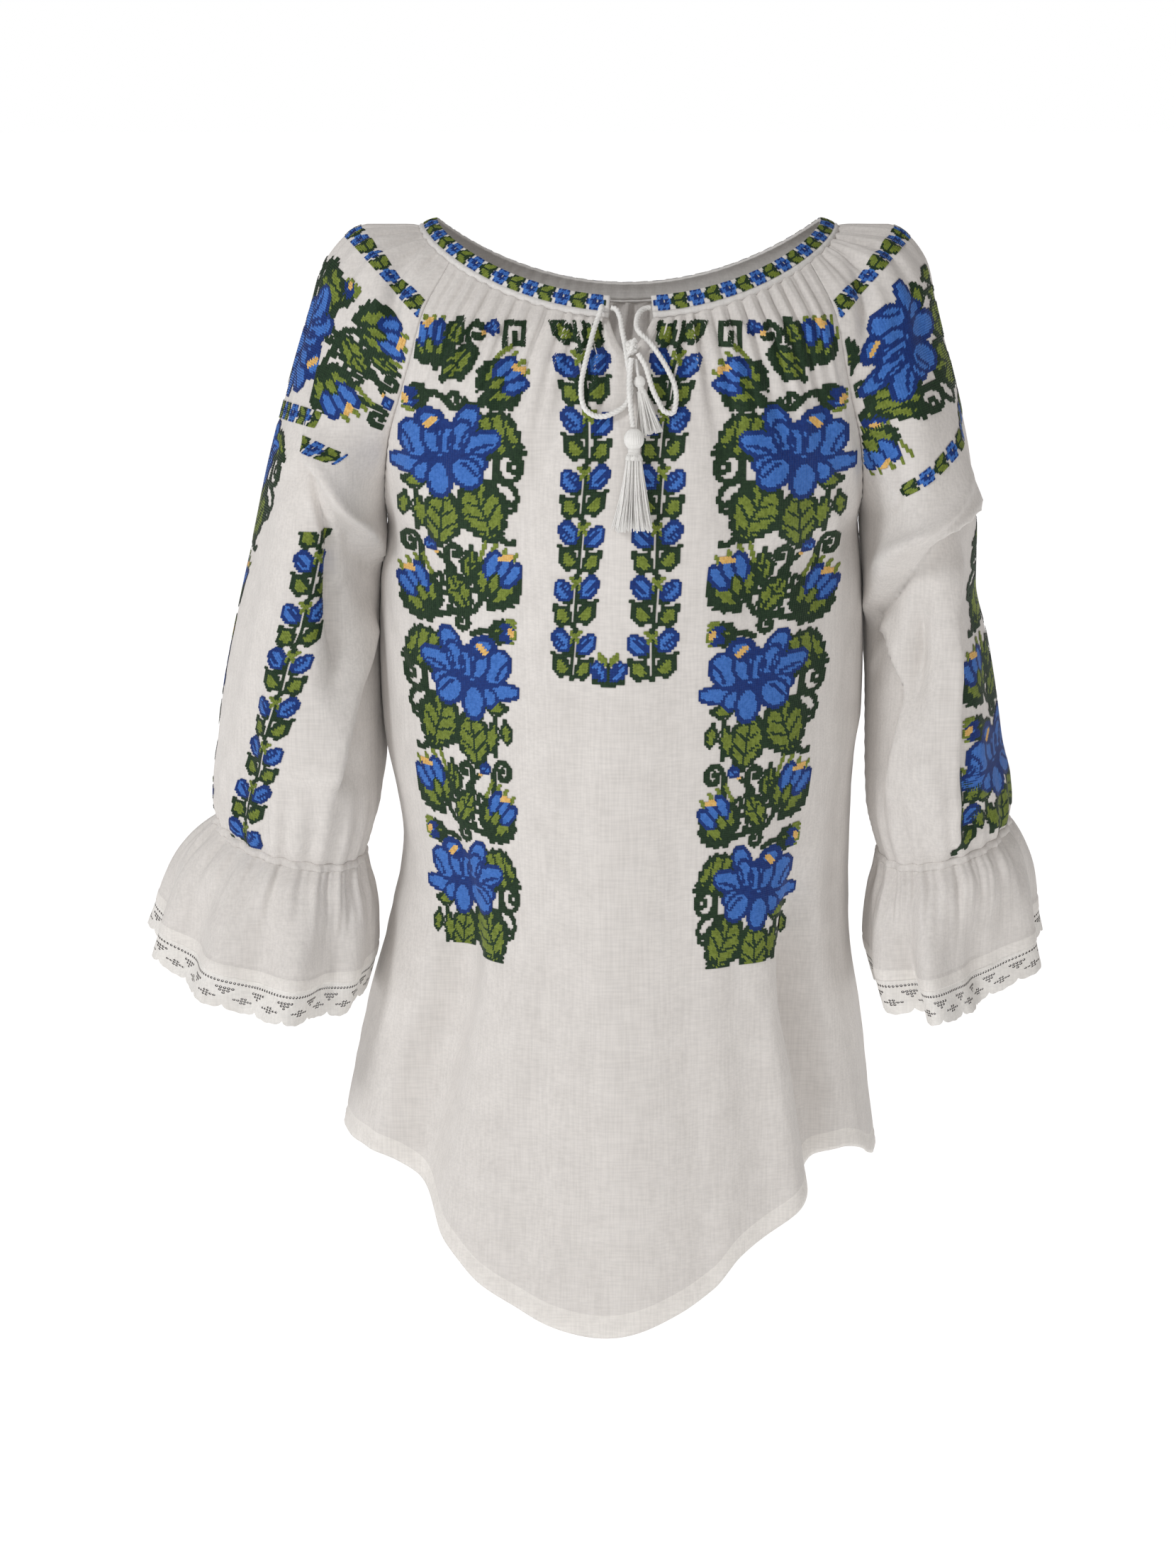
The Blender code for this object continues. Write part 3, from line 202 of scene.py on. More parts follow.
FRONT_HEM = table(
    HemRow,
    (-1.00, 0.006),
    (-0.80, 0.011),
    (-0.68, 0.014),
    (-0.58, 0.013),
    (-0.42, 0.006),
    (-0.32, 0.000),
    (-0.20, 0.002),
    (-0.08, 0.005),
    (0.10, 0.014),
    (0.22, 0.018),
    (0.29, 0.026),
    (0.42, 0.022),
    (0.55, 0.020),
    (0.68, 0.017),
    (0.86, -0.006),
    (1.00, -0.009),
)
BACK_HEM = [HemRow(-1.0, 0.005), HemRow(0.0, 0.004), HemRow(0.86, -0.002), HemRow(1.0, -0.009)]
print("body rows:", len(FRONT_CENTRE) + len(BACK_CENTRE) + len(SIDE_SEAM))

# %% The largest folds
Fold = namedtuple("Fold", "across_top down_top across_foot down_foot width depth")
FRONT_FOLDS = table(
    Fold,
    (-0.50, 1.30, -0.56, 2.00, 0.110, -0.022),
    (-0.33, 1.35, -0.36, 2.00, 0.090, 0.005),
    (0.52, 1.35, 0.60, 2.00, 0.085, -0.026),
    (0.42, 1.40, 0.46, 2.00, 0.060, 0.006),
    (0.05, 1.50, 0.02, 2.00, 0.200, 0.004),
    (-0.72, 0.35, -0.52, 0.95, 0.060, -0.004),
    (0.74, 0.35, 0.56, 0.95, 0.060, -0.004),
)
BACK_FOLDS = table(
    Fold,
    (-0.52, 1.25, -0.56, 2.00, 0.100, -0.020),
    (-0.18, 1.30, -0.22, 2.00, 0.090, -0.010),
    (0.16, 1.35, 0.18, 2.00, 0.100, -0.012),
    (0.54, 1.25, 0.60, 2.00, 0.095, -0.022),
    (-0.74, 0.35, -0.55, 0.95, 0.060, -0.004),
    (0.72, 0.35, 0.52, 0.95, 0.060, -0.004),
)
SLEEVE_FOLDS = {
    -1: table(
        Fold,
        (-0.42, 0.55, -0.80, 1.10, 0.070, 0.006),
        (-0.55, 0.80, -0.72, 1.55, 0.080, -0.008),
        (-0.35, 1.30, -0.30, 1.98, 0.060, -0.004),
        (-0.72, 1.40, -0.62, 1.98, 0.060, 0.004),
        (0.45, 0.60, 0.70, 1.35, 0.080, -0.007),
        (0.30, 1.30, 0.42, 1.98, 0.070, 0.004),
        (0.86, 0.98, 0.84, 1.66, 0.100, 0.008),
        (0.84, 1.42, 0.82, 2.02, 0.160, 0.013),
        (-0.62, 0.02, -0.92, 0.40, 0.075, -0.0085),
    ),
    1: table(
        Fold,
        (-0.38, 0.85, -0.86, 1.18, 0.070, 0.007),
        (-0.50, 1.05, -0.74, 1.65, 0.090, -0.012),
        (-0.30, 1.30, -0.34, 1.98, 0.060, 0.004),
        (-0.62, 1.45, -0.52, 1.98, 0.060, 0.004),
        (0.42, 0.70, 0.74, 1.40, 0.080, -0.008),
        (0.32, 1.35, 0.40, 1.98, 0.070, 0.004),
        (0.86, 0.98, 0.84, 1.56, 0.100, 0.008),
        (-0.62, 0.02, -0.92, 0.40, 0.075, -0.0085),
    ),
}
FLOUNCE_FOLDS = {
    -1: table(
        Fold,
        (-0.24, 0.10, -0.20, 2.00, 0.060, -0.006),
        (-0.78, 0.10, -0.80, 2.00, 0.080, -0.008),
        (0.45, 0.10, 0.50, 2.00, 0.080, -0.008),
    ),
    1: table(
        Fold,
        (-0.42, 0.05, -0.40, 2.00, 0.070, -0.024),
        (-0.72, 0.10, -0.75, 2.00, 0.070, -0.008),
        (0.40, 0.10, 0.45, 2.00, 0.080, -0.010),
    ),
}
print("front folds:", len(FRONT_FOLDS), "back folds:", len(BACK_FOLDS))

# %% The gathers
FRONT_GATHERS = 13
BACK_GATHERS = 26
CAP_GATHERS = 11
CUFF_GATHERS = 20
FLOUNCE_WAVES = 9
WAVE_HEIGHT = 0.0065
GatherRow = namedtuple("GatherRow", "down height")
NECK_GATHERS = table(
    GatherRow,
    (0.00, 0.0009),
    (0.05, 0.0019),
    (0.125, 0.0019),
    (0.25, 0.0014),
    (0.42, 0.0006),
    (0.58, 0.0),
)
CUFF_GATHER_ROWS = table(
    GatherRow,
    (1.72, 0.0),
    (1.85, 0.0012),
    (1.94, 0.0020),
    (2.00, 0.0012),
)
FLOUNCE_GATHER_ROWS = table(
    GatherRow,
    (0.00, 0.0012),
    (0.15, 0.0021),
    (0.35, 0.0013),
    (0.70, 0.0),
)
print("gathers at the neck:", 2 * FRONT_GATHERS + BACK_GATHERS + 2 * CAP_GATHERS)

# %% [markdown]
# ## From rows to a surface
#
# Every piece of cloth is a function of two numbers: how far across it a point is, and how far down.
# numpy works out a whole grid of points at once, which is quick enough to be generous with them.
# The alternative, a subdivided mesh shaped by hand, would drift away from the solids.


# %% Smooth curves and directions
def between(t, span, start, end, slope, end_slope):
    """A cubic curve over a span, at the shares t of it, with the slope that each end has."""
    curve = (2 * t**3 - 3 * t**2 + 1) * start + (3 * t**2 - 2 * t**3) * end
    return curve + span * ((t**3 - 2 * t**2 + t) * slope + (t**3 - t**2) * end_slope)


def spline(rows, column, at):
    """One named column of a table at the places that at gives, on a curve that doesn't overshoot."""
    x = np.array([row.down for row in rows])
    y = np.array([getattr(row, column) for row in rows], float)
    step, rise = np.diff(x), np.diff(y)
    slope = rise / step
    tangent = np.concatenate([[slope[0]], np.zeros(len(x) - 2), [slope[-1]]])
    for i in range(1, len(x) - 1):
        if slope[i - 1] * slope[i] > 0:
            tangent[i] = 2 * slope[i - 1] * slope[i] / (slope[i - 1] + slope[i])
    at = np.clip(np.asarray(at, float), x[0], x[-1])
    k = np.clip(np.searchsorted(x, at, "right") - 1, 0, len(x) - 2)
    return between((at - x[k]) / step[k], step[k], y[k], y[k + 1], tangent[k], tangent[k + 1])


def smooth_step(t):
    t = np.clip(t, 0.0, 1.0)
    return t * t * (3 - 2 * t)


def unit(v):
    return v / np.maximum(np.linalg.norm(v, axis=-1, keepdims=True), 1e-12)


def points(x, y, z):
    return np.stack(np.broadcast_arrays(x, y, z), axis=-1)


print("depth of the front at the armpit:", float(spline(FRONT_CENTRE, "depth", 1.0)))


# %% The neck and the sleeves as functions
def neck(phi, up):
    """A point of the neckband: phi turns from the centre front towards +X, and up is 0 to 1."""
    s, c = np.sin(phi), np.cos(phi)
    front = c > 0
    dip = np.abs(c) ** NECK_DIP_POWER
    z = NECK_SIDE_Z - np.where(front, NECK_FRONT_DIP, NECK_BACK_DIP) * dip
    lower = points(NECK_CENTRE_X + NECK_HALF_WIDTH * s, -np.where(front, NECK_FRONT, NECK_BACK) * c, z)
    rise_in = np.where(front, BAND_RISE_FRONT[0], BAND_RISE_BACK[0])
    rise_up = np.where(front, BAND_RISE_FRONT[1], BAND_RISE_BACK[1])
    lift = BAND_RISE_SIDE[1] + (rise_up - BAND_RISE_SIDE[1]) * dip
    band = points(-BAND_RISE_SIDE[0] * s, rise_in * c, lift)
    return lower + np.asarray(up)[..., None] * band


def arm_row(rows, side, psi, down, gap):
    """A row of a sleeve or a flounce. psi is 0 on the outer side and negative in front."""
    out_x = spline(rows, "out_right" if side > 0 else "out_left", down)
    out_z, in_z = spline(rows, "out_z", down), spline(rows, "in_z", down)
    in_x, depth = spline(rows, "in_x", down) + gap, spline(rows, "depth", down)
    opening = np.radians(spline(rows, "open", down))
    share = (np.cos(psi) - np.cos(opening)) / (1 - np.cos(opening))
    x = in_x + (out_x - in_x) * share
    y = depth * np.sin(psi)
    z = in_z + (out_z - in_z) * share + spline(rows, "nod", down) * y
    y = y + spline(rows, "y", down) + spline(rows, "turn", down) * (x - (in_x + out_x) / 2)
    return points(side * x, y, z)


def half_gap(down):
    """Half the space between the front and a sleeve, which is wider near the armpit."""
    return SEAM_HALF_GAP + (ARMPIT_HALF_GAP - SEAM_HALF_GAP) * smooth_step((down - 0.82) / 0.18)


def sleeve_base(side, across, down):
    """The plain surface of a sleeve: 0 at the neckband, 1 at the armpit, 2 at the elastic."""
    across, down = np.broadcast_arrays(np.asarray(across, float), np.asarray(down, float))
    opening = np.radians(spline(SLEEVE, "open", down))
    surface = arm_row(SLEEVE, side, across * opening, down, half_gap(down))
    surface[..., 0] += NECK_CENTRE_X * (1 - smooth_step(down / 0.6))
    top_open = math.radians(SLEEVE[0].open)
    top = neck(side * (math.pi / 2 + across * top_open), 0 * across)
    plain_top = arm_row(SLEEVE, side, across * top_open, 0 * down, 0 * down)
    plain_top[..., 0] += NECK_CENTRE_X
    pull = np.clip(1 - down / NECK_REACH, 0, 1)[..., None] ** 2
    return surface + pull * (top - plain_top)


print("top of the left sleeve:", np.round(sleeve_base(-1, 0.0, 0.0), 4))


# %% The front and the back as a function
def raglan(face, side, down):
    """The raglan seam line, in front (face -1) or behind (face 1)."""
    across = face * np.ones_like(np.asarray(down, float))
    return sleeve_base(side, across, down) - points(side * half_gap(down), 0, 0)


def body_base(face, across, down):
    """The plain surface of the front (face -1) or the back (face 1), 2 being the hem."""
    across, down = np.broadcast_arrays(np.asarray(across, float), np.asarray(down, float))
    rows = FRONT_CENTRE if face < 0 else BACK_CENTRE
    above = np.minimum(down, 1.0)
    seam_right, seam_left = raglan(face, 1, above), raglan(face, -1, above)
    below = down > 1
    wide_right = np.where(below, spline(SIDE_SEAM, "right", down), seam_right[..., 0])
    wide_left = np.where(below, spline(SIDE_SEAM, "left", down), -seam_left[..., 0])
    gap = np.where(below, ARMPIT_HALF_GAP, half_gap(above))
    wide = np.where(across > 0, wide_right, wide_left) - gap
    seam_y = np.where(below, 0.0, seam_right[..., 1])
    seam_y = np.where(np.abs(seam_y) < SEAM_HALF_GAP, face * SEAM_HALF_GAP, seam_y)
    seam_z = np.where(below, spline(SIDE_SEAM, "z", down), seam_right[..., 2])
    sweep = np.radians(spline(rows, "sweep", down))
    psi = across * sweep
    share = (np.cos(psi) - np.cos(sweep)) / (1 - np.cos(sweep))
    x = wide * np.sin(psi) / np.sin(sweep)
    y = seam_y + (face * spline(rows, "depth", down) - seam_y) * share
    z = seam_z + (spline(rows, "z", down) - seam_z) * np.maximum(share, 0) ** spline(rows, "sag", down)
    hem = FRONT_HEM if face < 0 else BACK_HEM
    z = z + spline(hem, "rise", across) * smooth_step((down - 1.4) / 0.6)
    surface = points(x, y, z) + body_top_pull(face, across, down, rows)
    if face < 0:
        open_width = SLIT_HALF_WIDTH * np.clip(1 - down / SLIT_END, 0, 1) ** 0.8
        surface[..., 0] += np.sign(across) * open_width * np.clip(1 - np.abs(across) / SLIT_SPREAD, 0, 1)
    return surface


def body_top_pull(face, across, down, rows):
    """What brings a panel's upper edge onto the neckband's lower edge."""
    angle = math.radians(RAGLAN_ANGLE)
    phi = across * angle
    top = neck(phi if face < 0 else math.pi - phi, 0 * phi)
    share = (np.cos(phi) - math.cos(angle)) / (1 - math.cos(angle))
    corner, other = raglan(face, 1, 0 * down), raglan(face, -1, 0 * down)
    plain = points(
        np.where(across > 0, corner[..., 0], -other[..., 0]) * np.sin(phi) / math.sin(angle),
        corner[..., 1] + (face * rows[0].depth - corner[..., 1]) * share,
        corner[..., 2] + (rows[0].z - corner[..., 2]) * np.maximum(share, 0) ** rows[0].sag,
    )
    return np.clip(1 - down / NECK_REACH, 0, 1)[..., None] ** 2 * (top - plain)


print("centre of the front hem:", np.round(body_base(-1, 0.01, 2.0), 4))

# %% [markdown]
# ## Folds and gathers
#
# A fold is a line across a piece with a soft ridge or trough on it. A gather is the same thing many
# times over: thread pulls the cloth's edge short, and the spare width stands up in narrow ripples
# that fade out below. Their places vary a little, as they do when fingers even them out.


# %% Ridges and troughs
def fold_height(folds, across, down, end):
    """How far the listed folds push the cloth out. A fold that reaches end stays open there."""
    height = np.zeros_like(across + down)
    for fold in folds:
        t = (down - fold.down_top) / (fold.down_foot - fold.down_top)
        middle = fold.across_top + (fold.across_foot - fold.across_top) * t
        foot = 1.0 if fold.down_foot >= end else smooth_step((1 - t) * 2)
        reach = np.exp(-(((across - middle) / fold.width) ** 2))
        height = height + fold.depth * smooth_step(t * 2) * foot * reach * (t > 0)
    return height


def gather_lines(count, start, end, seed):
    """Where the crests and the hollows of gathers lie between two edges, and how strong each is."""
    chance = np.random.default_rng(seed)
    place = np.linspace(start, end, 2 * count + 1)
    place[1:-1] += chance.uniform(-0.22, 0.22, 2 * count - 1) * (place[1] - place[0])
    strength = np.where(np.arange(2 * count + 1) % 2 == 1, 1.0, -0.8)
    strength *= chance.uniform(0.65, 1.15, 2 * count + 1)
    strength[[0, -1]] = 0.0
    return place, strength


def cuff_gathers(side):
    place, strength = gather_lines(CUFF_GATHERS, -1.0, 1.0, 11 if side > 0 else 12)
    strength[[0, -1]] = -0.8
    return place, strength


def ripple(lines, across):
    """Gathers as a smooth ripple through their crests and hollows."""
    place, strength = lines
    k = np.clip(np.searchsorted(place, across, "right") - 1, 0, len(place) - 2)
    t = np.clip((across - place[k]) / (place[k + 1] - place[k]), 0, 1)
    return strength[k] + (strength[k + 1] - strength[k]) * (1 - np.cos(math.pi * t)) / 2


print("gathers on a cuff:", CUFF_GATHERS)


# %% A piece of cloth as a grid of places
class Cloth:
    """A grid of places, rows down and columns across, with the direction that each one faces."""

    def __init__(self, across, down, places, outward, height=None):
        self.across, self.down, self.places = across, down, places
        self.normals = self.facing(places, outward)
        if height is not None:
            self.places = places + self.normals * height[..., None]
            self.normals = self.facing(self.places, outward)
        rows = np.linalg.norm(np.diff(self.places, axis=0), axis=2)
        columns = np.linalg.norm(np.diff(self.places, axis=1), axis=2)
        self.run_down = np.concatenate([0 * rows[:1], np.cumsum(rows, axis=0)])
        self.run_across = np.concatenate([0 * columns[:, :1], np.cumsum(columns, axis=1)], axis=1)

    @staticmethod
    def facing(places, outward):
        n = unit(np.cross(np.gradient(places, axis=1), np.gradient(places, axis=0)))
        middle = (n.shape[0] // 2, n.shape[1] // 2)
        return n * np.sign(n[middle] @ np.asarray(outward, float))

    def read(self, values, across, down):
        """A grid's values between its rows and columns."""
        x = np.interp(across, self.across, np.arange(len(self.across)))
        y = np.interp(down, self.down, np.arange(len(self.down)))
        i = np.clip(y.astype(int), 0, len(self.down) - 2)
        j = np.clip(x.astype(int), 0, len(self.across) - 2)
        u, v = (x - j)[..., None], (y - i)[..., None]
        top = values[i, j] * (1 - u) + values[i, j + 1] * u
        foot = values[i + 1, j] * (1 - u) + values[i + 1, j + 1] * u
        return top * (1 - v) + foot * v

    def at(self, across, down):
        """A place on the cloth."""
        return self.read(self.places, across, down)


# %% From a grid to a thin shell
def put(name, vertices, faces, material, smooth=True, indices=None):
    """An object of the blouse, which moves with its one body."""
    mesh = bpy.data.meshes.new(name)
    mesh.from_pydata(np.asarray(vertices).tolist(), [], faces)
    for item in material if isinstance(material, (list, tuple)) else [material]:
        mesh.materials.append(item)
    if indices is not None:
        mesh.polygons.foreach_set("material_index", np.asarray(indices, np.int32))
    mesh.polygons.foreach_set("use_smooth", [smooth] * len(mesh.polygons))
    mesh.update()
    piece = bpy.data.objects.new(name, mesh)
    bpy.context.scene.collection.objects.link(piece)
    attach(piece, "root")
    return piece


def grid_faces(rows, columns, keep=None):
    i, j = np.meshgrid(np.arange(rows - 1), np.arange(columns - 1), indexing="ij")
    a = i * columns + j
    quads = np.stack([a, a + 1, a + 1 + columns, a + columns], axis=-1).reshape(-1, 4)
    return quads if keep is None else quads[keep.reshape(-1)]


def shell(name, cloth, wall, material, keep=None, weld=None, hem_row=10**6):
    """A thin shell of cloth. keep says which cells are there, and weld which points meet.

    From hem_row down the cloth is double, and has the second material.
    """
    rows, columns = cloth.places.shape[:2]
    outer = (cloth.places + cloth.normals * wall / 2).reshape(-1, 3)
    inner = (cloth.places - cloth.normals * wall / 2).reshape(-1, 3)
    faces = grid_faces(rows, columns, keep=keep)
    count = rows * columns
    same = np.arange(count)
    if weld is not None:
        for a, b in weld:
            same[b] = a
            middle = (outer[a] + outer[b]) / 2, (inner[a] + inner[b]) / 2
            outer[a], inner[a] = middle
    faces = same[faces]
    a, b, c = (outer[faces[:, k]] for k in range(3))
    lean = np.einsum("ij,ij->i", np.cross(b - a, c - a), cloth.normals.reshape(-1, 3)[faces[:, 0]])
    if lean.sum() < 0:
        faces = faces[:, ::-1]
    edges = {}
    for quad in faces.tolist():
        for p, q in zip(quad, quad[1:] + quad[:1]):
            if p != q:
                edges[(p, q)] = True
    rim = [(q, p, p + count, q + count) for p, q in edges if (q, p) not in edges]
    both = faces.tolist() + (faces[:, ::-1] + count).tolist() + rim
    used = np.unique(np.concatenate([np.array(both[: 2 * len(faces)]).ravel(), np.array(rim).ravel()]))
    new = np.full(2 * count, -1)
    new[used] = np.arange(len(used))
    vertices = np.concatenate([outer, inner])[used]
    clean, indices = [], []
    for face in both:
        ring = list(dict.fromkeys(new[list(face)].tolist()))
        if len(ring) > 2:
            clean.append(ring)
            indices.append(int(min(index % count for index in face) // columns >= hem_row))
    return put(name, vertices, clean, material, True, indices)


print("a grid of 3 by 4 has", len(grid_faces(3, 4)), "cells")

# %% [markdown]
# ## The finishes
#
# The blouse is sewn from thin plain-woven cotton, a little warm and not quite even, because voile is
# spun from slubby yarn. Each finish is worked out from noise and crossed waves, so it stays sharp
# at any distance. The embroidery is stranded cotton in five colours, with a soft gloss.


# %% A finish
def finish(name, colour, roughness, sheen=0.0):
    """A new material with its shader, and functions that add nodes to it and link them."""
    material = bpy.data.materials.new(name)
    material.use_nodes = True
    tree = material.node_tree
    shader = tree.nodes["Principled BSDF"]
    shader.inputs["Base Color"].default_value = (*colour, 1)
    shader.inputs["Roughness"].default_value = roughness
    shader.inputs["Sheen Weight"].default_value = sheen
    shader.inputs["Sheen Roughness"].default_value = 0.5

    def add(kind, **sockets):
        node = tree.nodes.new("ShaderNode" + kind)
        for socket, value in sockets.items():
            node.inputs[socket.replace("_", " ")].default_value = value
        return node

    def link(source, output, node, socket):
        tree.links.new(source.outputs[output], node.inputs[socket])

    return material, shader, add, link


def vary(shader, add, link, colour, other, place, scale, contrast=(0.35, 0.65)):
    """The finish's colour drifts between two near ones."""
    noise = add("TexNoise", Scale=scale, Detail=4.0)
    ramp = add("ValToRGB")
    ramp.color_ramp.elements[0].position, ramp.color_ramp.elements[1].position = contrast
    ramp.color_ramp.elements[0].color = (*colour, 1)
    ramp.color_ramp.elements[1].color = (*other, 1)
    link(place, "Object", noise, "Vector")
    link(noise, "Fac", ramp, "Fac")
    link(ramp, "Color", shader, "Base Color")
    return ramp


print("materials before the finishes:", len(bpy.data.materials))

# %% Plain weave
YARN = 0.0005  # from one yarn of the voile to the next


def slubs(shader, add, link, place, ramp, darkest):
    """Thicker and thinner stretches of yarn, as fine streaks along both directions of the weave."""
    last, output = ramp, "Color"
    for stretch in ((1.0, 1.0, 0.05), (0.05, 1.0, 1.0)):
        mapped = add("Mapping", Scale=stretch)
        streaks = add("TexNoise", Scale=820.0, Detail=2.0)
        shade = add("MapRange", From_Min=0.36, From_Max=0.62, To_Min=darkest, To_Max=1.0)
        times = add("VectorMath")
        times.operation = "SCALE"
        link(place, "Object", mapped, "Vector")
        link(mapped, "Vector", streaks, "Vector")
        link(streaks, "Fac", shade, "Value")
        link(last, output, times, 0)
        link(shade, "Result", times, "Scale")
        last, output = times, "Vector"
    link(last, output, shader, "Base Color")


def woven(name, colour, other, yarn, roughness, sheen, crumple=0.35):
    """Plain weave: two crossed waves for the yarns, and broad noise for soft crumpling."""
    material, shader, add, link = finish(name, colour, roughness, sheen)
    place = add("TexCoord")
    ramp = vary(shader, add, link, colour, other, place, 60.0)
    slubs(shader, add, link, place, ramp, 0.93)
    soft = add("TexNoise", Scale=85.0, Detail=3.0, Roughness=0.45)
    link(place, "Object", soft, "Vector")
    crumpled = add("Bump", Strength=crumple, Distance=0.0009)
    link(soft, "Fac", crumpled, "Height")
    last = crumpled
    for direction in ("X", "Z"):
        wave = add("TexWave", Scale=1 / yarn / 20, Distortion=1.2, Detail=1.0)
        wave.bands_direction = direction
        link(place, "Object", wave, "Vector")
        bump = add("Bump", Strength=0.12, Distance=0.00012)
        link(wave, "Fac", bump, "Height")
        link(last, "Normal", bump, "Normal")
        last = bump
    link(last, "Normal", shader, "Normal")
    return material


print("yarns in a centimetre of voile:", round(0.01 / YARN))

# %% The cloth's finishes
voile = woven("cotton_voile", (0.70, 0.668, 0.640), (0.735, 0.703, 0.675), YARN, 0.88, 0.15)
band_cotton = woven("neckband_cotton", (0.73, 0.71, 0.69), (0.77, 0.75, 0.73), YARN, 0.86, 0.15)
lace_cotton = woven("cotton_lace", (0.80, 0.775, 0.74), (0.85, 0.83, 0.80), 0.0006, 0.88, 0.2)
# painted shade: a near-black colour for the walls inside the lace's holes, standing in for their shadow
lace_painted_shade = woven("lace_painted_shade", (0.11, 0.10, 0.095), (0.15, 0.14, 0.135), 0.0006, 0.9, 0.05)
hem_cotton = woven("hem_cotton", (0.79, 0.758, 0.722), (0.83, 0.798, 0.762), YARN, 0.88, 0.15)
cord_cotton = woven("cord_cotton", (0.80, 0.79, 0.765), (0.86, 0.85, 0.83), 0.0004, 0.75, 0.2, 0.15)
hemmed = [voile, hem_cotton]  # a piece's own cloth, and its doubled hem
finishes = (voile, band_cotton, lace_cotton, lace_painted_shade, hem_cotton, cord_cotton)
print("cloth finishes:", [made.name for made in finishes])

# %% [markdown]
# ## The tie
#
# A narrow cord runs through the neckband and is tied in front. It comes first, because it is the
# one free piece and its route is fixed by the solids: each point lies a stated height above the
# plain cloth. The cord is three yarns twisted together, which is a three-lobed section that turns
# as it goes along. A real curve with a round bevel would look like plastic tube.

# %% Where the tie lies
CORD_THICK = 0.0032
TiePoint = namedtuple("TiePoint", "x z lift")
LEFT_LOOP = table(
    TiePoint,
    (-0.0082, -0.0432, 0.0004),  # the drawstring's mouth, in the band's left end
    (-0.0060, -0.0438, 0.0010),
    (-0.0036, -0.0475, 0.0026),
    (-0.0022, -0.0545, 0.0038),
    (-0.0006, -0.0620, 0.0044),
    (0.0008, -0.0713, 0.0054),
    (0.0024, -0.0815, 0.0050),
    (0.0026, -0.0900, 0.0044),
    (-0.0006, -0.0965, 0.0040),
    (-0.0070, -0.1005, 0.0038),
    (-0.0131, -0.1026, 0.0038),
    (-0.0189, -0.1020, 0.0038),
    (-0.0234, -0.0987, 0.0040),
    (-0.0256, -0.0930, 0.0042),
    (-0.0259, -0.0847, 0.0046),
    (-0.0240, -0.0745, 0.0052),
    (-0.0212, -0.0640, 0.0058),
    (-0.0190, -0.0560, 0.0062),
    (-0.0165, -0.0490, 0.0066),
    (-0.0149, -0.0446, 0.0074),
    (-0.0141, -0.0421, 0.0066),
    (-0.0138, -0.0432, 0.0028),  # back into the band through its eyelet
)
RIGHT_LOOP = table(
    TiePoint,
    (0.0145, -0.0432, 0.0004),  # the mouth in the band's right end
    (0.0118, -0.0434, 0.0012),
    (0.0082, -0.0452, 0.0040),
    (0.0062, -0.0500, 0.0078),
    (0.0078, -0.0555, 0.0098),
    (0.0132, -0.0605, 0.0084),
    (0.0190, -0.0680, 0.0062),
    (0.0248, -0.0774, 0.0054),
    (0.0284, -0.0860, 0.0048),
    (0.0290, -0.0945, 0.0042),
    (0.0268, -0.1008, 0.0042),
    (0.0228, -0.1000, 0.0048),
    (0.0188, -0.0940, 0.0056),
    (0.0152, -0.0865, 0.0064),
    (0.0130, -0.0795, 0.0072),
    (0.0110, -0.0735, 0.0086),
    (0.0082, -0.0688, 0.0100),
    (0.0069, -0.0667, 0.0106),
)
KNOT = TiePoint(0.0032, -0.0635, 0.0106)
TAIL = table(
    TiePoint,
    (0.0030, -0.0692, 0.0106),
    (0.0022, -0.0770, 0.0092),
    (0.0018, -0.0860, 0.0088),
    (0.0026, -0.0960, 0.0086),
    (0.0041, -0.1081, 0.0080),
)
print("points in the two loops:", len(LEFT_LOOP) + len(RIGHT_LOOP))


# %% A route in space
def near_the_slit():
    """Places of the plain front and its band around the slit, for what lies on them."""
    across, down = np.meshgrid(np.linspace(-0.5, 0.5, 121), np.linspace(0, 1, 241))
    phi, up = np.meshgrid(np.linspace(-0.5, 0.5, 121), np.linspace(0, 1, 13))
    return np.concatenate([body_base(-1, across, down).reshape(-1, 3), neck(phi, up).reshape(-1, 3)])


slit_places = near_the_slit()


def tie_place(point):
    """Where a point of the tie is in space."""
    nearest = np.argmin(np.hypot(slit_places[:, 0] - point.x, slit_places[:, 2] - point.z))
    return np.array([point.x, slit_places[nearest, 1] - point.lift, point.z])


def run_along(path):
    return np.concatenate([[0], np.cumsum(np.linalg.norm(np.diff(path, axis=0), axis=1))])


def smooth_route(route, step):
    """A smooth curve through a route's own points, read at even steps."""
    p = np.array([tie_place(point) for point in route])
    at = run_along(p)
    tangent = np.gradient(p, at, axis=0)
    fine = np.linspace(0, at[-1], 40 * len(p))
    k = np.clip(np.searchsorted(at, fine, "right") - 1, 0, len(at) - 2)
    span = (at[k + 1] - at[k])[:, None]
    t = (fine[:, None] - at[k][:, None]) / span
    curve = between(t, span, p[k], p[k + 1], tangent[k], tangent[k + 1])
    length = run_along(curve)
    even = np.linspace(0, length[-1], round(length[-1] / step) + 1)
    return np.stack([np.interp(even, length, curve[:, axis]) for axis in range(3)], axis=1)


print("places near the slit:", len(slit_places))


# %% A twisted cord
YARN_SIDES = 18
YARN_TURN = 0.0072  # the cord's length in one whole turn of its twist
CORD_STEP = 0.0006
YARN_CORE = 0.45  # how far each yarn's middle lies from the cord's middle, as a share of the radius


def frames_along(path):
    """Two directions square to a path at each point, without sudden turns."""
    along = unit(np.gradient(path, axis=0))
    side = np.zeros_like(path)
    first = np.cross(along[0], [0.0, 1.0, 0.3])
    for i, direction in enumerate(along):
        last = first if i == 0 else side[i - 1]
        side[i] = unit(last - direction * (last @ direction))
    return side, np.cross(along, side)


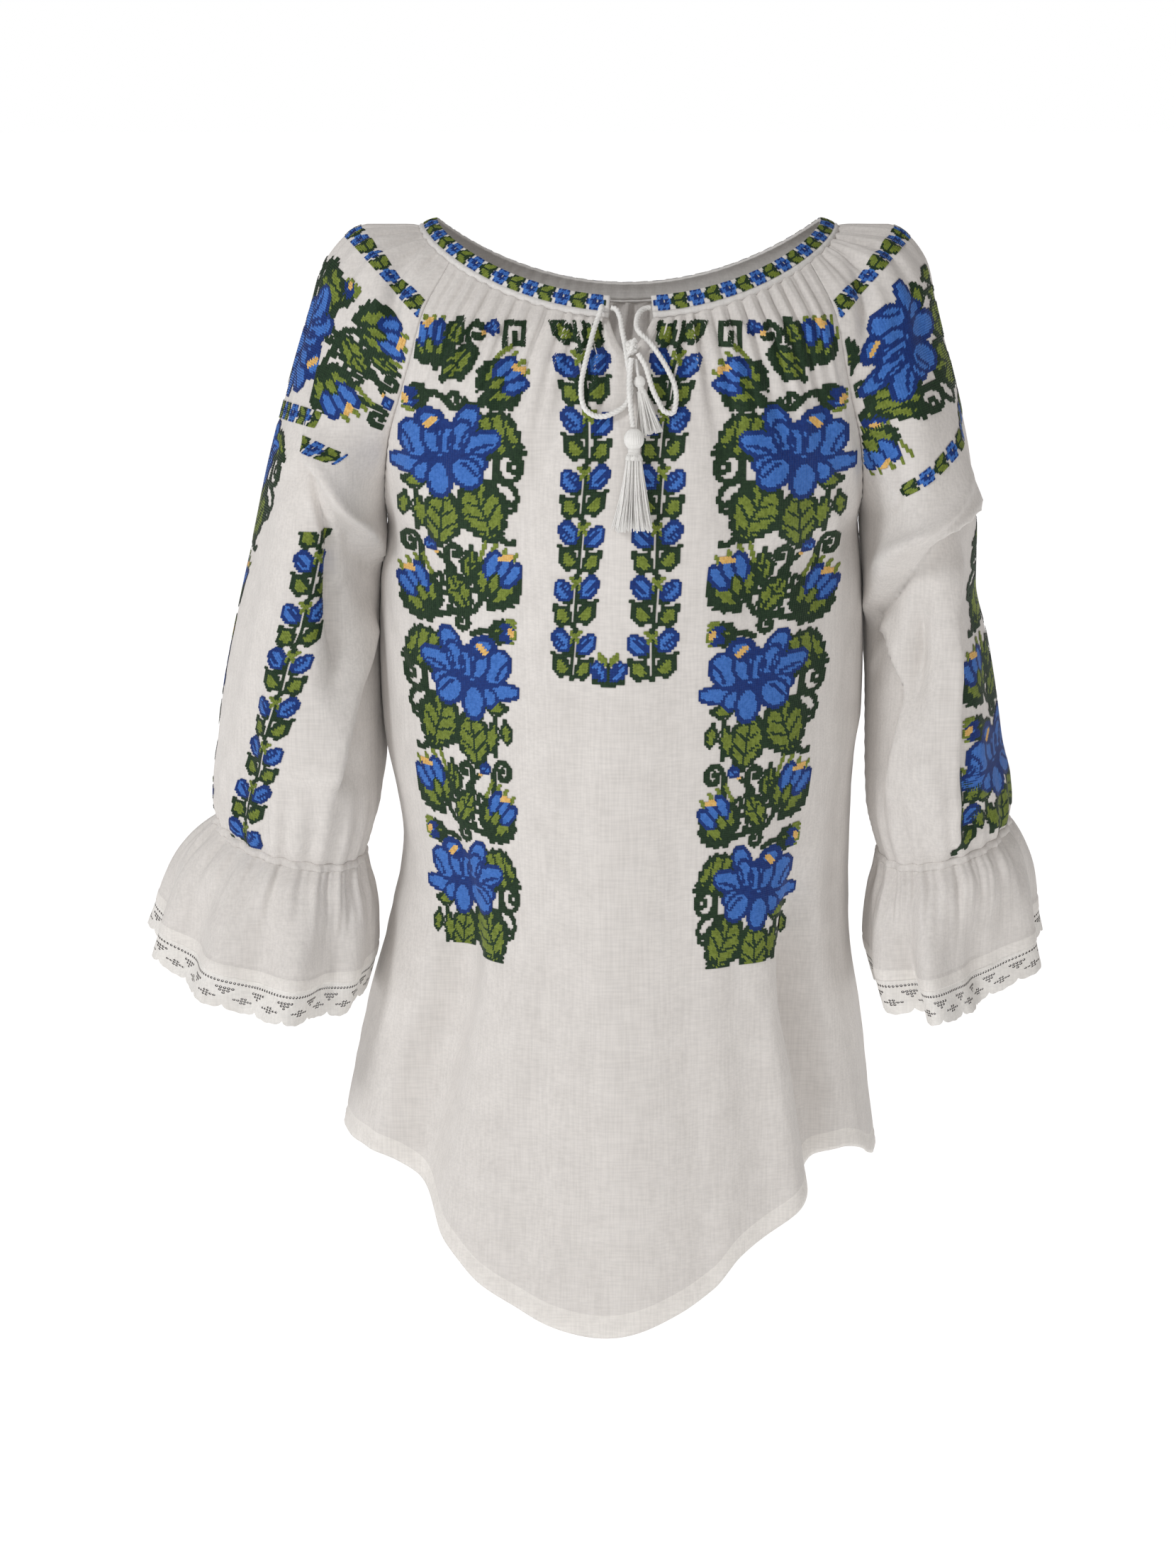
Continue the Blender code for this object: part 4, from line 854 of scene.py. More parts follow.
def tube(path, radius, sides=YARN_SIDES, flat=1.0, lobes=None):
    """Vertices and faces of a closed tube. radius may change along it, and lobes round it."""
    side, other = frames_along(path)
    angle = np.linspace(0, 2 * math.pi, sides, endpoint=False)[None, :]
    reach = np.broadcast_to(np.asarray(radius, float), len(path))[:, None]
    reach = reach * (1 if lobes is None else lobes(angle)) + 0 * angle
    rings = path[:, None] + (reach * np.cos(angle))[..., None] * side[:, None]
    rings = rings + flat * (reach * np.sin(angle))[..., None] * other[:, None]
    i, k = np.meshgrid(np.arange(len(path) - 1), np.arange(sides), indexing="ij")
    start, turned_on = i * sides + k, i * sides + (k + 1) % sides
    faces = np.stack([start, turned_on, turned_on + sides, start + sides], axis=-1).reshape(-1, 4).tolist()
    faces.append(list(range(sides))[::-1])
    faces.append(list(range((len(path) - 1) * sides, len(path) * sides)))
    return rings.reshape(-1, 3), faces


def twisted_tube(path, radius, turn=YARN_TURN):
    """A tube with the section of three yarns, which turns as it goes along."""
    run = run_along(path)[:, None]

    def lobes(angle):
        local = (angle - 2 * math.pi * run / turn + math.pi / 3) % (2 * math.pi / 3) - math.pi / 3
        yarn = 1 - YARN_CORE
        return YARN_CORE * np.cos(local) + np.sqrt(yarn**2 - (YARN_CORE * np.sin(local)) ** 2)

    return tube(path, radius, lobes=lobes)


def joined(parts):
    """Several sets of vertices and faces as one."""
    vertices, faces, count = [], [], 0
    for places, sides in parts:
        vertices.append(places)
        faces.extend([index + count for index in face] for face in sides)
        count += len(places)
    return np.concatenate(vertices), faces


def tie_cord(name, route):
    path = smooth_route(route, CORD_STEP)
    piece = put(name + "_twist", *twisted_tube(path, CORD_THICK / 2 * 1.06), cord_cotton)
    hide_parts(name)


tie_cord("tie_loop_left", LEFT_LOOP)
tie_cord("tie_loop_right", RIGHT_LOOP)

# %% [markdown]
# ## The knot and the tassels
#
# The knot is the cord itself, wrapped round where the loops meet. A tassel is a bundle of threads
# laid over the cord's end, tied into a ball and bound below it. Its threads are thin tubes that
# start close together, bend out and end at slightly different lengths, since a cone would look solid.

# %% The knot
KNOT_SIZE = (0.0062, 0.0052, 0.0105)


def knot_wraps():
    """Two and a half wraps round the middle, and one strand slanting over them."""
    middle = tie_place(KNOT)
    half = np.array(KNOT_SIZE) / 2
    t = np.linspace(0, 1, 90)[:, None]
    turn = 2 * math.pi * 2.6 * t
    thin = 0.0014
    reach = half - thin * 0.7
    wrap = np.hstack([reach[0] * np.cos(turn), reach[1] * np.sin(turn), (0.5 - t) * 0.0068])
    over = np.hstack([0.0019 - 0.0040 * t, -half[1] * np.sin(math.pi * t) - 0.0002, 0.0048 - 0.0094 * t])
    parts = [twisted_tube(middle + wrap, thin * 1.1), twisted_tube(middle + over[::2], thin)]
    t = np.linspace(-1, 1, 9)[:, None]
    core = np.hstack([0 * t, 0 * t, -t * half[2] * 0.86])
    parts.append(tube(middle + core, 0.0021 * np.sqrt(1 - 0.75 * t[:, 0] ** 2), 12))
    return joined(parts)


knot = put("tie_knot_wraps", *knot_wraps(), cord_cotton)
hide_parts("tie_knot")
print("knot:", len(knot.data.polygons), "faces")

# %% A tassel
HeadRow = namedtuple("HeadRow", "below radius")
TASSEL_HEAD = table(
    HeadRow,
    (-1.10, 0.30),
    (-1.02, 0.46),
    (-0.86, 0.66),
    (-0.64, 0.84),
    (-0.36, 0.97),
    (0.00, 1.02),
    (0.34, 0.96),
    (0.62, 0.82),
    (0.86, 0.62),
    (1.00, 0.52),
    (1.25, 0.52),
    (1.42, 0.64),
    (1.80, 0.84),
    (2.10, 0.86),
)
TASSEL_FLAT = 0.72
TasselPlan = namedtuple("TasselPlan", "name head foot radius spread strands seed")
LONG_HEAD, LONG_FOOT = TiePoint(0.0046, -0.1150, 0.0080), TiePoint(0.0048, -0.1680, 0.0066)
SHORT_HEAD, SHORT_FOOT = TiePoint(0.0078, -0.0830, 0.0060), TiePoint(0.0150, -0.1125, 0.0032)
TASSELS = [
    TasselPlan("tassel_long", LONG_HEAD, LONG_FOOT, 0.0057, 0.0122, 210, 41),
    TasselPlan("tassel_short", SHORT_HEAD, SHORT_FOOT, 0.0033, 0.0072, 120, 42),
]
STEM = TiePoint(0.0057, -0.0703, 0.0078)  # where the short tassel's cord leaves the knot


def tassel_head(plan, head, axis):
    """The ball: threads laid side by side over the cord's end, so their ridges run from top to foot."""
    path = np.array([head + axis * row.below * plan.radius for row in TASSEL_HEAD])
    threads = 26 if plan.radius > 0.004 else 18
    turn = 0.5 * np.arange(len(TASSEL_HEAD))[:, None] / len(TASSEL_HEAD)

    def ridges(angle):
        return 1 + 0.035 * np.cos(threads * angle + 6 * turn)

    radius = np.array([row.radius for row in TASSEL_HEAD]) * plan.radius
    return tube(path, radius, 4 * threads, TASSEL_FLAT, ridges)


def tassel_binding(plan, head, axis):
    """The thread that is wound round the neck between the ball and the skirt."""
    side, other = frames_along(np.array([head, head + axis * 0.01]))
    t = np.linspace(0, 1, 70)[:, None]
    angle = 2 * math.pi * 3.2 * t
    reach = plan.radius * 0.56
    path = head + axis * plan.radius * (0.98 + 0.32 * t) + reach * np.cos(angle) * side[0]
    return tube(path + TASSEL_FLAT * reach * np.sin(angle) * other[0], plan.radius * 0.075, 6)


def tassel_skirt(plan, head, foot, axis):
    """The strands. The outer ones bend out further, and a few stray."""
    chance = np.random.default_rng(plan.seed)
    side, other = frames_along(np.array([head, head + axis * 0.01]))
    root = head + axis * 1.55 * plan.radius
    reach_down = np.linalg.norm(foot - root)
    t = np.linspace(0, 1, 8)[:, None]
    parts = []
    for _ in range(plan.strands):
        angle = chance.uniform(0, 2 * math.pi)
        share = math.sqrt(chance.uniform(0, 1))
        stray = 1.18 if chance.uniform() < 0.06 else 1.0
        start, end = plan.radius * 0.78 * share, plan.spread * share * stray
        long = reach_down * chance.uniform(0.93, 1.02)
        out = start + (end - start) * (0.45 * t + 0.55 * t**1.6)
        sway = chance.uniform(-0.0007, 0.0007) * np.sin(chance.uniform(3, 7) * t + chance.uniform(0, 6)) * t
        ray = math.cos(angle) * side[0] + TASSEL_FLAT * math.sin(angle) * other[0]
        path = root + axis * long * t + ray * out + side[0] * sway
        thick = chance.uniform(0.00034, 0.00048) * np.linspace(1, 0.8, 8)
        parts.append(tube(path, thick, 5))
    return joined(parts)


print("strands:", [plan.strands for plan in TASSELS])

# %% The tassels
for plan in TASSELS:
    head, foot = tie_place(plan.head), tie_place(plan.foot)
    axis = unit(foot - head)
    parts = [tassel_head(plan, head, axis), tassel_binding(plan, head, axis)]
    parts.append(tassel_skirt(plan, head, foot, axis))
    if plan.name == "tassel_short":
        stem = smooth_route([STEM, TiePoint(0.0064, -0.0760, 0.0070), plan.head], CORD_STEP)
        parts.append(twisted_tube(stem, 0.0011, 0.005))
    piece = put(plan.name + "_threads", *joined(parts), cord_cotton)
    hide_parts(plan.name)
    print(plan.name, len(piece.data.polygons), "faces")

tie_cord("tie_tail", TAIL)

# %% [markdown]
# ## The front and the back
#
# Each is cut wide and gathered into the neckband. The front is slit down its middle for the tie.
# Seams draw in a little groove, and a narrow hem stands up at the foot where the cloth is double.
# The folds in the tables are the ones that the solids have. The creases below add what only shows
# close by: soft lines that fall from the gathers, and the ones that a folded blouse keeps.

# %% Fine creases
Crease = namedtuple("Crease", "across_top down_top across_foot down_foot width depth bow")
FRONT_CREASES = table(
    Crease,
    (-0.60, 1.02, -0.47, 1.62, 0.0060, -0.0016, 0.02),
    (-0.40, 1.35, -0.43, 2.00, 0.0090, 0.0020, -0.01),
    (-0.64, 1.45, -0.70, 2.00, 0.0080, 0.0022, 0.02),
    (-0.20, 1.20, -0.24, 2.00, 0.0110, -0.0014, 0.01),
    (-0.06, 1.10, -0.02, 1.90, 0.0100, 0.0012, -0.02),
    (0.14, 1.25, 0.20, 2.00, 0.0100, -0.0012, 0.01),
    (0.36, 1.05, 0.34, 1.75, 0.0080, 0.0014, 0.02),
    (0.50, 1.30, 0.55, 2.00, 0.0070, -0.0026, 0.01),
    (0.60, 1.28, 0.66, 2.00, 0.0080, 0.0024, 0.01),
    (0.74, 1.20, 0.80, 2.00, 0.0080, -0.0016, -0.02),
    (-0.80, 0.62, -0.52, 1.10, 0.0055, -0.0014, 0.03),
    (0.82, 0.60, 0.55, 1.10, 0.0055, -0.0014, -0.03),
    (-0.88, 1.05, -0.55, 1.24, 0.0060, -0.0016, -0.02),
    (0.88, 1.05, 0.60, 1.26, 0.0060, -0.0016, 0.02),
    (0.30, 0.55, 0.34, 1.15, 0.0080, -0.0010, 0.01),
    (-0.28, 0.55, -0.34, 1.12, 0.0080, -0.0010, -0.01),
)
BACK_CREASES = table(
    Crease,
    (-0.70, 1.05, -0.60, 1.95, 0.0080, -0.0018, 0.02),
    (-0.36, 0.95, -0.40, 2.00, 0.0100, 0.0018, -0.02),
    (-0.05, 1.05, 0.02, 2.00, 0.0110, -0.0014, 0.02),
    (0.34, 1.00, 0.36, 2.00, 0.0090, 0.0018, 0.01),
    (0.68, 1.10, 0.74, 2.00, 0.0080, -0.0020, -0.02),
    (-0.84, 0.62, -0.55, 1.12, 0.0060, -0.0014, 0.03),
    (0.84, 0.62, 0.52, 1.14, 0.0060, -0.0014, -0.03),
    (0.10, 0.60, 0.12, 1.30, 0.0090, -0.0010, 0.01),
)


def crease_height(creases, cloth):
    """Narrow folds, with their widths in metres. They die out at both ends."""
    across, down = np.meshgrid(cloth.across, cloth.down)
    wide = cloth.run_across[:, -1:] / (cloth.across[-1] - cloth.across[0])
    height = np.zeros_like(across)
    for crease in creases:
        t = (down - crease.down_top) / (crease.down_foot - crease.down_top)
        middle = crease.across_top + (crease.across_foot - crease.across_top) * t
        middle = middle + crease.bow * np.sin(math.pi * np.clip(t, 0, 1))
        foot = 1.0 if crease.down_foot >= 2.0 else smooth_step((1 - t) * 2.5)
        offset = (across - middle) * wide / crease.width
        form = np.exp(-(offset**2)) - 0.35 * np.exp(-((offset - 1.9) ** 2))
        height += crease.depth * smooth_step(t * 2.5) * foot * form * (t > 0) * (t < 1.2)
    return height


print("creases:", len(FRONT_CREASES), "in front and", len(BACK_CREASES), "behind")


# %% Folds that lap over
# A fold whose one side stands over the other: its edge as places across and down, then which side
# of that line stands up, by how much, and how far from the edge the cloth settles again.
Lap = namedtuple("Lap", "places side depth reach")
LAP_PLACES = 25  # where along a lap its line is read
LAP_EDGE = 0.003  # half the width of the drop
LAP_SINK = 0.75  # how far the other side sinks, as a share of the rise


def lap_height(laps, plain):
    """A steep drop along each line, on cloth that swells up to it."""
    middle = len(plain.across) // 2
    x = plain.run_across - plain.run_across[:, middle : middle + 1]
    y = 0 * x + plain.run_down[:, middle : middle + 1]
    spot = np.stack([x, y], axis=-1)
    height = np.zeros_like(x)
    for lap in laps:
        across, down = np.array(lap.places, float).T
        t, order = np.linspace(0, len(across) - 1, LAP_PLACES), np.arange(len(across))
        line = plain.read(spot, np.interp(t, order, across), np.interp(t, order, down))
        line[1:-1] = (line[:-2] + 2 * line[1:-1] + line[2:]) / 4
        start, step = line[:-1], np.diff(line, axis=0)
        away = spot[..., None, :] - start
        share = np.clip((away * step).sum(-1) / (step**2).sum(-1), 0, 1)
        offset = away - share[..., None] * step
        distance = np.linalg.norm(offset, axis=-1)
        nearest = distance.argmin(axis=-1)[..., None]
        turn = step[:, 0] * away[..., 1] - step[:, 1] * away[..., 0]
        signed = lap.side * np.take_along_axis(np.sign(turn) * distance, nearest, -1)[..., 0]
        along = (nearest + np.take_along_axis(share, nearest, -1))[..., 0] / len(start)
        ends = smooth_step(along * 7) * smooth_step((1 - along) * 7)
        rise = smooth_step((signed + LAP_EDGE) / (2 * LAP_EDGE))
        sink = LAP_SINK * smooth_step((LAP_EDGE - signed) / (2 * LAP_EDGE))
        form = rise * np.exp(-np.maximum(signed, 0) / lap.reach)
        form -= sink * np.exp(-np.maximum(-signed, 0) / lap.reach)
        height += lap.depth * ends * form
    return height


print("a lap's edge is read at", LAP_PLACES, "places")


# %% Seams, hems and fine pleats
def seam_height(plain):
    """The groove along a piece's two long edges, with small puckers beside it."""
    run, total = plain.run_across, plain.run_across[:, -1:]
    from_edge = np.minimum(run, total - run)
    pucker = np.sin(plain.run_down * 2 * math.pi / 0.0085 + 2.1 * np.sin(plain.run_down * 61))
    height = -0.00025 * np.exp(-((from_edge / 0.0018) ** 2))
    height += 0.00045 * pucker * np.exp(-from_edge / 0.007) * smooth_step(from_edge / 0.002)
    return height


def hem_height(plain, width=0.011):
    """The doubled cloth at the foot, and the dip along its row of stitches."""
    from_hem = plain.run_down[-1:] - plain.run_down
    height = 0.00035 * smooth_step((width - from_hem) / 0.0012 + 0.5)
    return height - 0.00040 * np.exp(-(((from_hem - width) / 0.0011) ** 2))


def fine_pleats(plain, count):
    """The small pleats between the large gathers, right under the neckband."""
    across, down = np.meshgrid(plain.across, plain.down)
    wave = np.sin(count * math.pi * across + 1.7 * np.sin(11 * across) + 0.9 * np.sin(29 * across))
    fade = smooth_step(down / 0.02) * smooth_step(1 - down / 0.34) ** 1.5
    return 0.00075 * wave * fade


def drape(plain, count, height):
    """Soft lines that hang from the gathers."""
    across, down = np.meshgrid(plain.across, plain.down)
    wave = np.sin(count * across + 0.8 * np.sin(5 * across + 2 * down) + 0.7 * down)
    fade = smooth_step(down / 0.3) * (1 - 0.55 * smooth_step((down - 0.6) / 1.0))
    return height * wave * fade


HEM_TOP = 1.966  # from here down the body's cloth is double
BODY_DOWN = np.concatenate(
    [
        np.linspace(0, 0.06, 8)[:-1],
        np.linspace(0.06, 1.0, 56)[:-1],
        np.linspace(1.0, 1.965, 60),
        1.968 + 0.0064 * np.arange(6),
    ]
)
BODY_DOWN[-1] = 2.0
HEM_ROW = int(np.argmax(BODY_DOWN > HEM_TOP))
print("rows down the body:", len(BODY_DOWN))


# %% The body's cloth
BODY_PLEATS = 74  # small pleats under the neckband, on each panel


def body_cloth(face, across, folds, creases, lines):
    grid_across, grid_down = np.meshgrid(across, BODY_DOWN)
    base = body_base(face, grid_across, grid_down)
    outward = (0, face, 0)
    plain = Cloth(across, BODY_DOWN, base, outward)
    height = ripple(lines, grid_across) * spline(NECK_GATHERS, "height", grid_down)
    height += fold_height(folds, grid_across, grid_down, 2.0)
    height += crease_height(creases, plain) + fine_pleats(plain, BODY_PLEATS)
    height += drape(plain, 31, 0.0011)
    height *= 1 - np.abs(grid_across) ** 10  # folds flatten towards the seams
    height += hem_height(plain) + seam_height(plain)
    return Cloth(across, BODY_DOWN, base, outward, height)


CLOTH_WALL = 0.0007
print("wall of the cloth:", CLOTH_WALL, "m")

# %% The front
half = np.linspace(0, 1, 100)
half[0] = 1e-6  # the slit lies between two columns, which are welded below its end
front_across = np.concatenate([-half[::-1], half])
right_lines = gather_lines(FRONT_GATHERS, 0.0, 1.0, 3)
left_lines = gather_lines(FRONT_GATHERS, -1.0, 0.0, 4)
front_lines = tuple(np.concatenate([a, b[1:]]) for a, b in zip(left_lines, right_lines))
front_cloth = body_cloth(-1, front_across, FRONT_FOLDS, FRONT_CREASES, front_lines)
columns = len(front_across)
slit_row = int(np.argmax(BODY_DOWN >= SLIT_END))
keep = np.ones((len(BODY_DOWN) - 1, columns - 1), bool)
keep[:, columns // 2 - 1] = False
weld = [(i * columns + columns // 2 - 1, i * columns + columns // 2) for i in range(slit_row, len(BODY_DOWN))]
front = shell("front_cloth", front_cloth, CLOTH_WALL, hemmed, keep, weld, HEM_ROW)
print("front:", len(front.data.polygons), "faces")

# %% The back
back_across = np.linspace(-1, 1, 131)
back_lines = gather_lines(BACK_GATHERS, -1.0, 1.0, 5)
back_cloth = body_cloth(1, back_across, BACK_FOLDS, BACK_CREASES, back_lines)
back = shell("back_cloth", back_cloth, CLOTH_WALL, hemmed, hem_row=HEM_ROW)
print("back:", len(back.data.polygons), "faces")

# %% [markdown]
# ## The sleeves
#
# A raglan sleeve runs right up to the neckband, so its upper half is an open strip over the shoulder,
# and below the armpit its two edges meet under the arm in a tube. An elastic gathers it above the
# flounce.

# %% Creases of the sleeves
SLEEVE_CREASES = {
    -1: table(
        Crease,
        (-0.30, 0.52, -0.72, 1.08, 0.0060, 0.0028, -0.05),
        (-0.40, 0.60, -0.80, 1.20, 0.0055, -0.0022, -0.05),
        (-0.62, 0.95, -0.70, 1.60, 0.0070, -0.0024, 0.02),
        (-0.45, 1.00, -0.40, 1.80, 0.0070, 0.0016, 0.02),
        (-0.20, 0.90, -0.16, 1.85, 0.0080, -0.0014, -0.02),
        (0.10, 0.80, 0.12, 1.80, 0.0080, 0.0014, 0.02),
        (0.40, 0.70, 0.62, 1.50, 0.0070, -0.0024, 0.03),
        (0.75, 1.05, 0.60, 1.80, 0.0070, 0.0018, 0.02),
        (-0.92, 1.02, -0.60, 1.22, 0.0060, -0.0018, 0.02),
    ),
    1: table(
        Crease,
        (-0.22, 0.80, -0.80, 1.14, 0.0060, 0.0034, -0.04),
        (-0.34, 0.92, -0.88, 1.26, 0.0060, -0.0028, -0.04),
        (-0.60, 1.10, -0.66, 1.70, 0.0075, -0.0026, 0.02),
        (-0.42, 1.15, -0.38, 1.85, 0.0070, 0.0018, 0.02),
        (-0.18, 0.95, -0.14, 1.85, 0.0080, -0.0014, -0.02),
        (0.12, 0.80, 0.16, 1.80, 0.0080, 0.0014, 0.02),
        (0.42, 0.75, 0.64, 1.50, 0.0070, -0.0024, 0.03),
        (0.76, 1.05, 0.62, 1.80, 0.0070, 0.0018, 0.02),
    ),
}
print("creases:", [len(creases) for creases in SLEEVE_CREASES.values()])

# %% Folds of the sleeves that lap over
SLEEVE_LAPS = {
    -1: [
        Lap([(-0.40, 0.34), (-0.43, 0.48), (-0.45, 0.62), (-0.48, 0.76)], 1, 0.0035, 0.016),
        Lap([(-0.44, 0.72), (-0.59, 0.79), (-0.68, 0.92), (-0.76, 1.02), (-0.98, 1.15)], 1, 0.0115, 0.034),
        Lap([(-0.46, 0.72), (-0.54, 0.90), (-0.58, 1.05), (-0.62, 1.22), (-0.66, 1.40)], -1, 0.0050, 0.020),
        Lap([(-0.95, 1.26), (-0.84, 1.37), (-0.76, 1.49), (-0.71, 1.62), (-0.68, 1.78)], -1, 0.0100, 0.028),
    ],
    1: [
        Lap([(-0.98, 0.56), (-0.90, 0.64), (-0.80, 0.72), (-0.72, 0.80), (-0.68, 0.90)], 1, 0.0035, 0.016),
        Lap(
            [(-0.08, 0.90), (-0.28, 0.94), (-0.45, 0.99), (-0.62, 1.08), (-0.80, 1.19), (-1.00, 1.32)],
            1,
            0.0110,
            0.036,
        ),
        Lap(
            [(-0.20, 1.00), (-0.33, 1.19), (-0.38, 1.36), (-0.41, 1.51), (-0.45, 1.85), (-0.47, 1.99)],
            1,
            0.0060,
            0.018,
        ),
        Lap([(-0.86, 1.22), (-0.78, 1.33), (-0.70, 1.46), (-0.73, 1.62), (-0.80, 1.84)], -1, 0.0075, 0.024),
        Lap([(-0.72, 1.22), (-0.86, 1.36), (-0.93, 1.46)], 1, 0.0022, 0.010),
    ],
}
print("laps:", [len(laps) for laps in SLEEVE_LAPS.values()])

# %% The sleeves
SIDES = ((-1, "left"), (1, "right"))
NO_OPEN_FOLD = 9.0  # past the last row, so that every fold fades out at its foot
SLEEVE_DOWN = np.concatenate(
    [
        np.linspace(0, 0.06, 7)[:-1],
        np.linspace(0.06, 1.0, 50)[:-1],
        np.linspace(1.0, 1.7, 36)[:-1],
        np.linspace(1.7, 2.0, 26),
    ]
)


def sleeve_cloth(side):
    across = np.linspace(-1, 1, 131)
    grid_across, grid_down = np.meshgrid(across, SLEEVE_DOWN)
    base = sleeve_base(side, grid_across, grid_down)
    outward = (side, 0, 0)
    plain = Cloth(across, SLEEVE_DOWN, base, outward)
    top = gather_lines(CAP_GATHERS, -1.0, 1.0, 7 if side > 0 else 8)
    height = ripple(top, grid_across) * spline(NECK_GATHERS, "height", grid_down) * (grid_down < 0.58)
    height += ripple(cuff_gathers(side), grid_across) * spline(CUFF_GATHER_ROWS, "height", grid_down)
    height += fold_height(SLEEVE_FOLDS[side], grid_across, grid_down, NO_OPEN_FOLD)
    height += crease_height(SLEEVE_CREASES[side], plain) + fine_pleats(plain, 30)
    height += lap_height(SLEEVE_LAPS[side], plain)
    height += drape(plain, 17, 0.0009)
    # Folds flatten towards the edges, a little less where these meet under the arm.
    open_edge = smooth_step((1.1 - grid_down) / 0.1)
    height *= 1 - np.abs(grid_across) ** 8 * np.maximum(open_edge, 0.9)
    height += seam_height(plain)
    return Cloth(across, SLEEVE_DOWN, base, outward, height)


def closed(cloth, first=0.0):
    """The points that meet along a tube's seam, from the row at first down."""
    n = len(cloth.across)
    return [(i * n, i * n + n - 1) for i in range(len(cloth.down)) if cloth.down[i] >= first]


sleeve_cloths, sleeves = {}, {}
for side, word in SIDES:
    cloth = sleeve_cloths[side] = sleeve_cloth(side)
    weld = closed(cloth, 1.0)
    sleeves[side] = shell(f"sleeve_{word}_cloth", cloth, CLOTH_WALL, voile, weld=weld)
    print("sleeve", word, len(sleeves[side].data.polygons), "faces")

# %% [markdown]
# ## The flounces
#
# Below the elastic each sleeve opens in a flounce, cut wider than the sleeve, so its foot stands in
# waves. Whether it is cut in one with the sleeve can't be seen, and it is a piece of its own here.
# Its hem is a narrow doubled band, and a lace edging is sewn under that.


# %% A flounce
def flounce_cloth(side, down):
    place = np.linspace(-1, 1, 301)
    grid_across, grid_down = np.meshgrid(place, down)
    base = arm_row(FLOUNCE, side, grid_across * math.pi, grid_down, 0.0)
    outward = (side, 0, 0)
    plain = Cloth(place, down, base, outward)
    normal = unit(plain.normals * points(1, 1, smooth_step(grid_down / 0.35)))
    phase = 0.7 if side > 0 else 0.0
    wave = np.sin(FLOUNCE_WAVES * math.pi * grid_across + phase) * WAVE_HEIGHT * smooth_step(grid_down)
    height = wave * (1 - 0.8 * grid_across**8)
    gather = spline(FLOUNCE_GATHER_ROWS, "height", np.minimum(grid_down, 0.7))
    height += ripple(cuff_gathers(side), grid_across) * gather
    height += fold_height(FLOUNCE_FOLDS[side], grid_across, grid_down, 2.0)
    crinkle = np.sin(53 * math.pi * grid_across + 2.2 * np.sin(17 * grid_across) + 3 * grid_down)
    height += 0.0006 * crinkle * smooth_step(1 - grid_down / 0.9) * (grid_down < 1)
    return Cloth(place, down, base + normal * height[..., None], outward)


FLOUNCE_DOWN = np.concatenate([np.linspace(0, 0.87, 22)[:-1], np.linspace(0.87, 1.0, 9)])
FLOUNCE_HEM = 23  # the row where the doubled hem starts
flounces, flounce_cloths = {}, {}
for side, word in SIDES:
    cloth = flounce_cloths[side] = flounce_cloth(side, FLOUNCE_DOWN)
    cloth.places = cloth.places + cloth.normals * hem_height(cloth, 0.0085)[..., None]
    weld = closed(cloth)
    flounces[side] = shell(f"flounce_{word}_cloth", cloth, CLOTH_WALL, hemmed, None, weld, FLOUNCE_HEM)
    print("flounce", word, len(flounces[side].data.polygons), "faces")

# %% The elastic gathers between sleeve and flounce
place, t = np.linspace(-1, 1, 181), np.linspace(0, 1, 7)
grid_place, grid_t = np.meshgrid(place, t)
wave = np.sin(150 * grid_place + 2 * np.sin(31 * grid_place))
roll = (0.0008 + 0.0006 * wave) * np.sin(math.pi * grid_t) ** 0.7
for side, word in SIDES:
    upper = sleeve_cloths[side].at(place, 0 * place + 1.992)
    lower = flounce_cloths[side].at(place, 0 * place + 0.03)
    stretch = upper[None] + (lower - upper)[None] * t[:, None, None]
    drawn = Cloth(place, t, stretch, (side, 0, 0), roll)
    shell(f"cuff_{word}_casing", drawn, CLOTH_WALL, voile, weld=closed(drawn))

# %% [markdown]
# ## The lace
#
# The edging is machine lace: plain ground with small holes in a repeat of ten by thirteen cells. A
# row of tiny holes runs under the hem. Below it are inverted triangles, and between them a longer row
# with a pair above and a pair below. The lower edge is scalloped, one tongue to each repeat. Each
# hole is a real one with eight sides. It narrows towards the back, and its wall is coloured near
# black as painted shade, because such small holes look dark from the front.

# %% The lace's holes
LACE_CELLS = 10  # cells in one repeat
LACE_REPEATS = 23
LACE_ROWS = 13
LACE_WALL = 0.0006
LACE_HOLES = {
    1: range(10),
    3: (3, 4, 5, 6, 7),
    4: (4, 5, 6),
    5: (5,),
    6: (0, 9),
    7: (7, 8, 9, 0, 1, 2),
    8: (0, 9),
}
SCALLOP_TOP = 9 / 13  # the share of the height where the rows begin to follow the scallops


def lace_down(column, row):
    """How far down the lace a place is. column and row count in half cells.

    Between two tongues the foot lies at about 0.83 of the height, and at a tongue at about 0.99.
    """
    from_tongue = (column / (2 * LACE_CELLS) + 0.5) % 1 - 0.5
    tongue = np.sqrt(np.maximum(0, 1 - (2 * from_tongue) ** 2))
    foot = 0.84 + 0.14 * tongue + 0.012 * np.cos(6 * math.pi * from_tongue)
    t = row / (2 * LACE_ROWS)
    share = (t - SCALLOP_TOP) / (1 - SCALLOP_TOP)
    return np.where(t < SCALLOP_TOP, t, SCALLOP_TOP + share * (foot - SCALLOP_TOP))


print("holes in one repeat:", sum(len(cells) for cells in LACE_HOLES.values()))


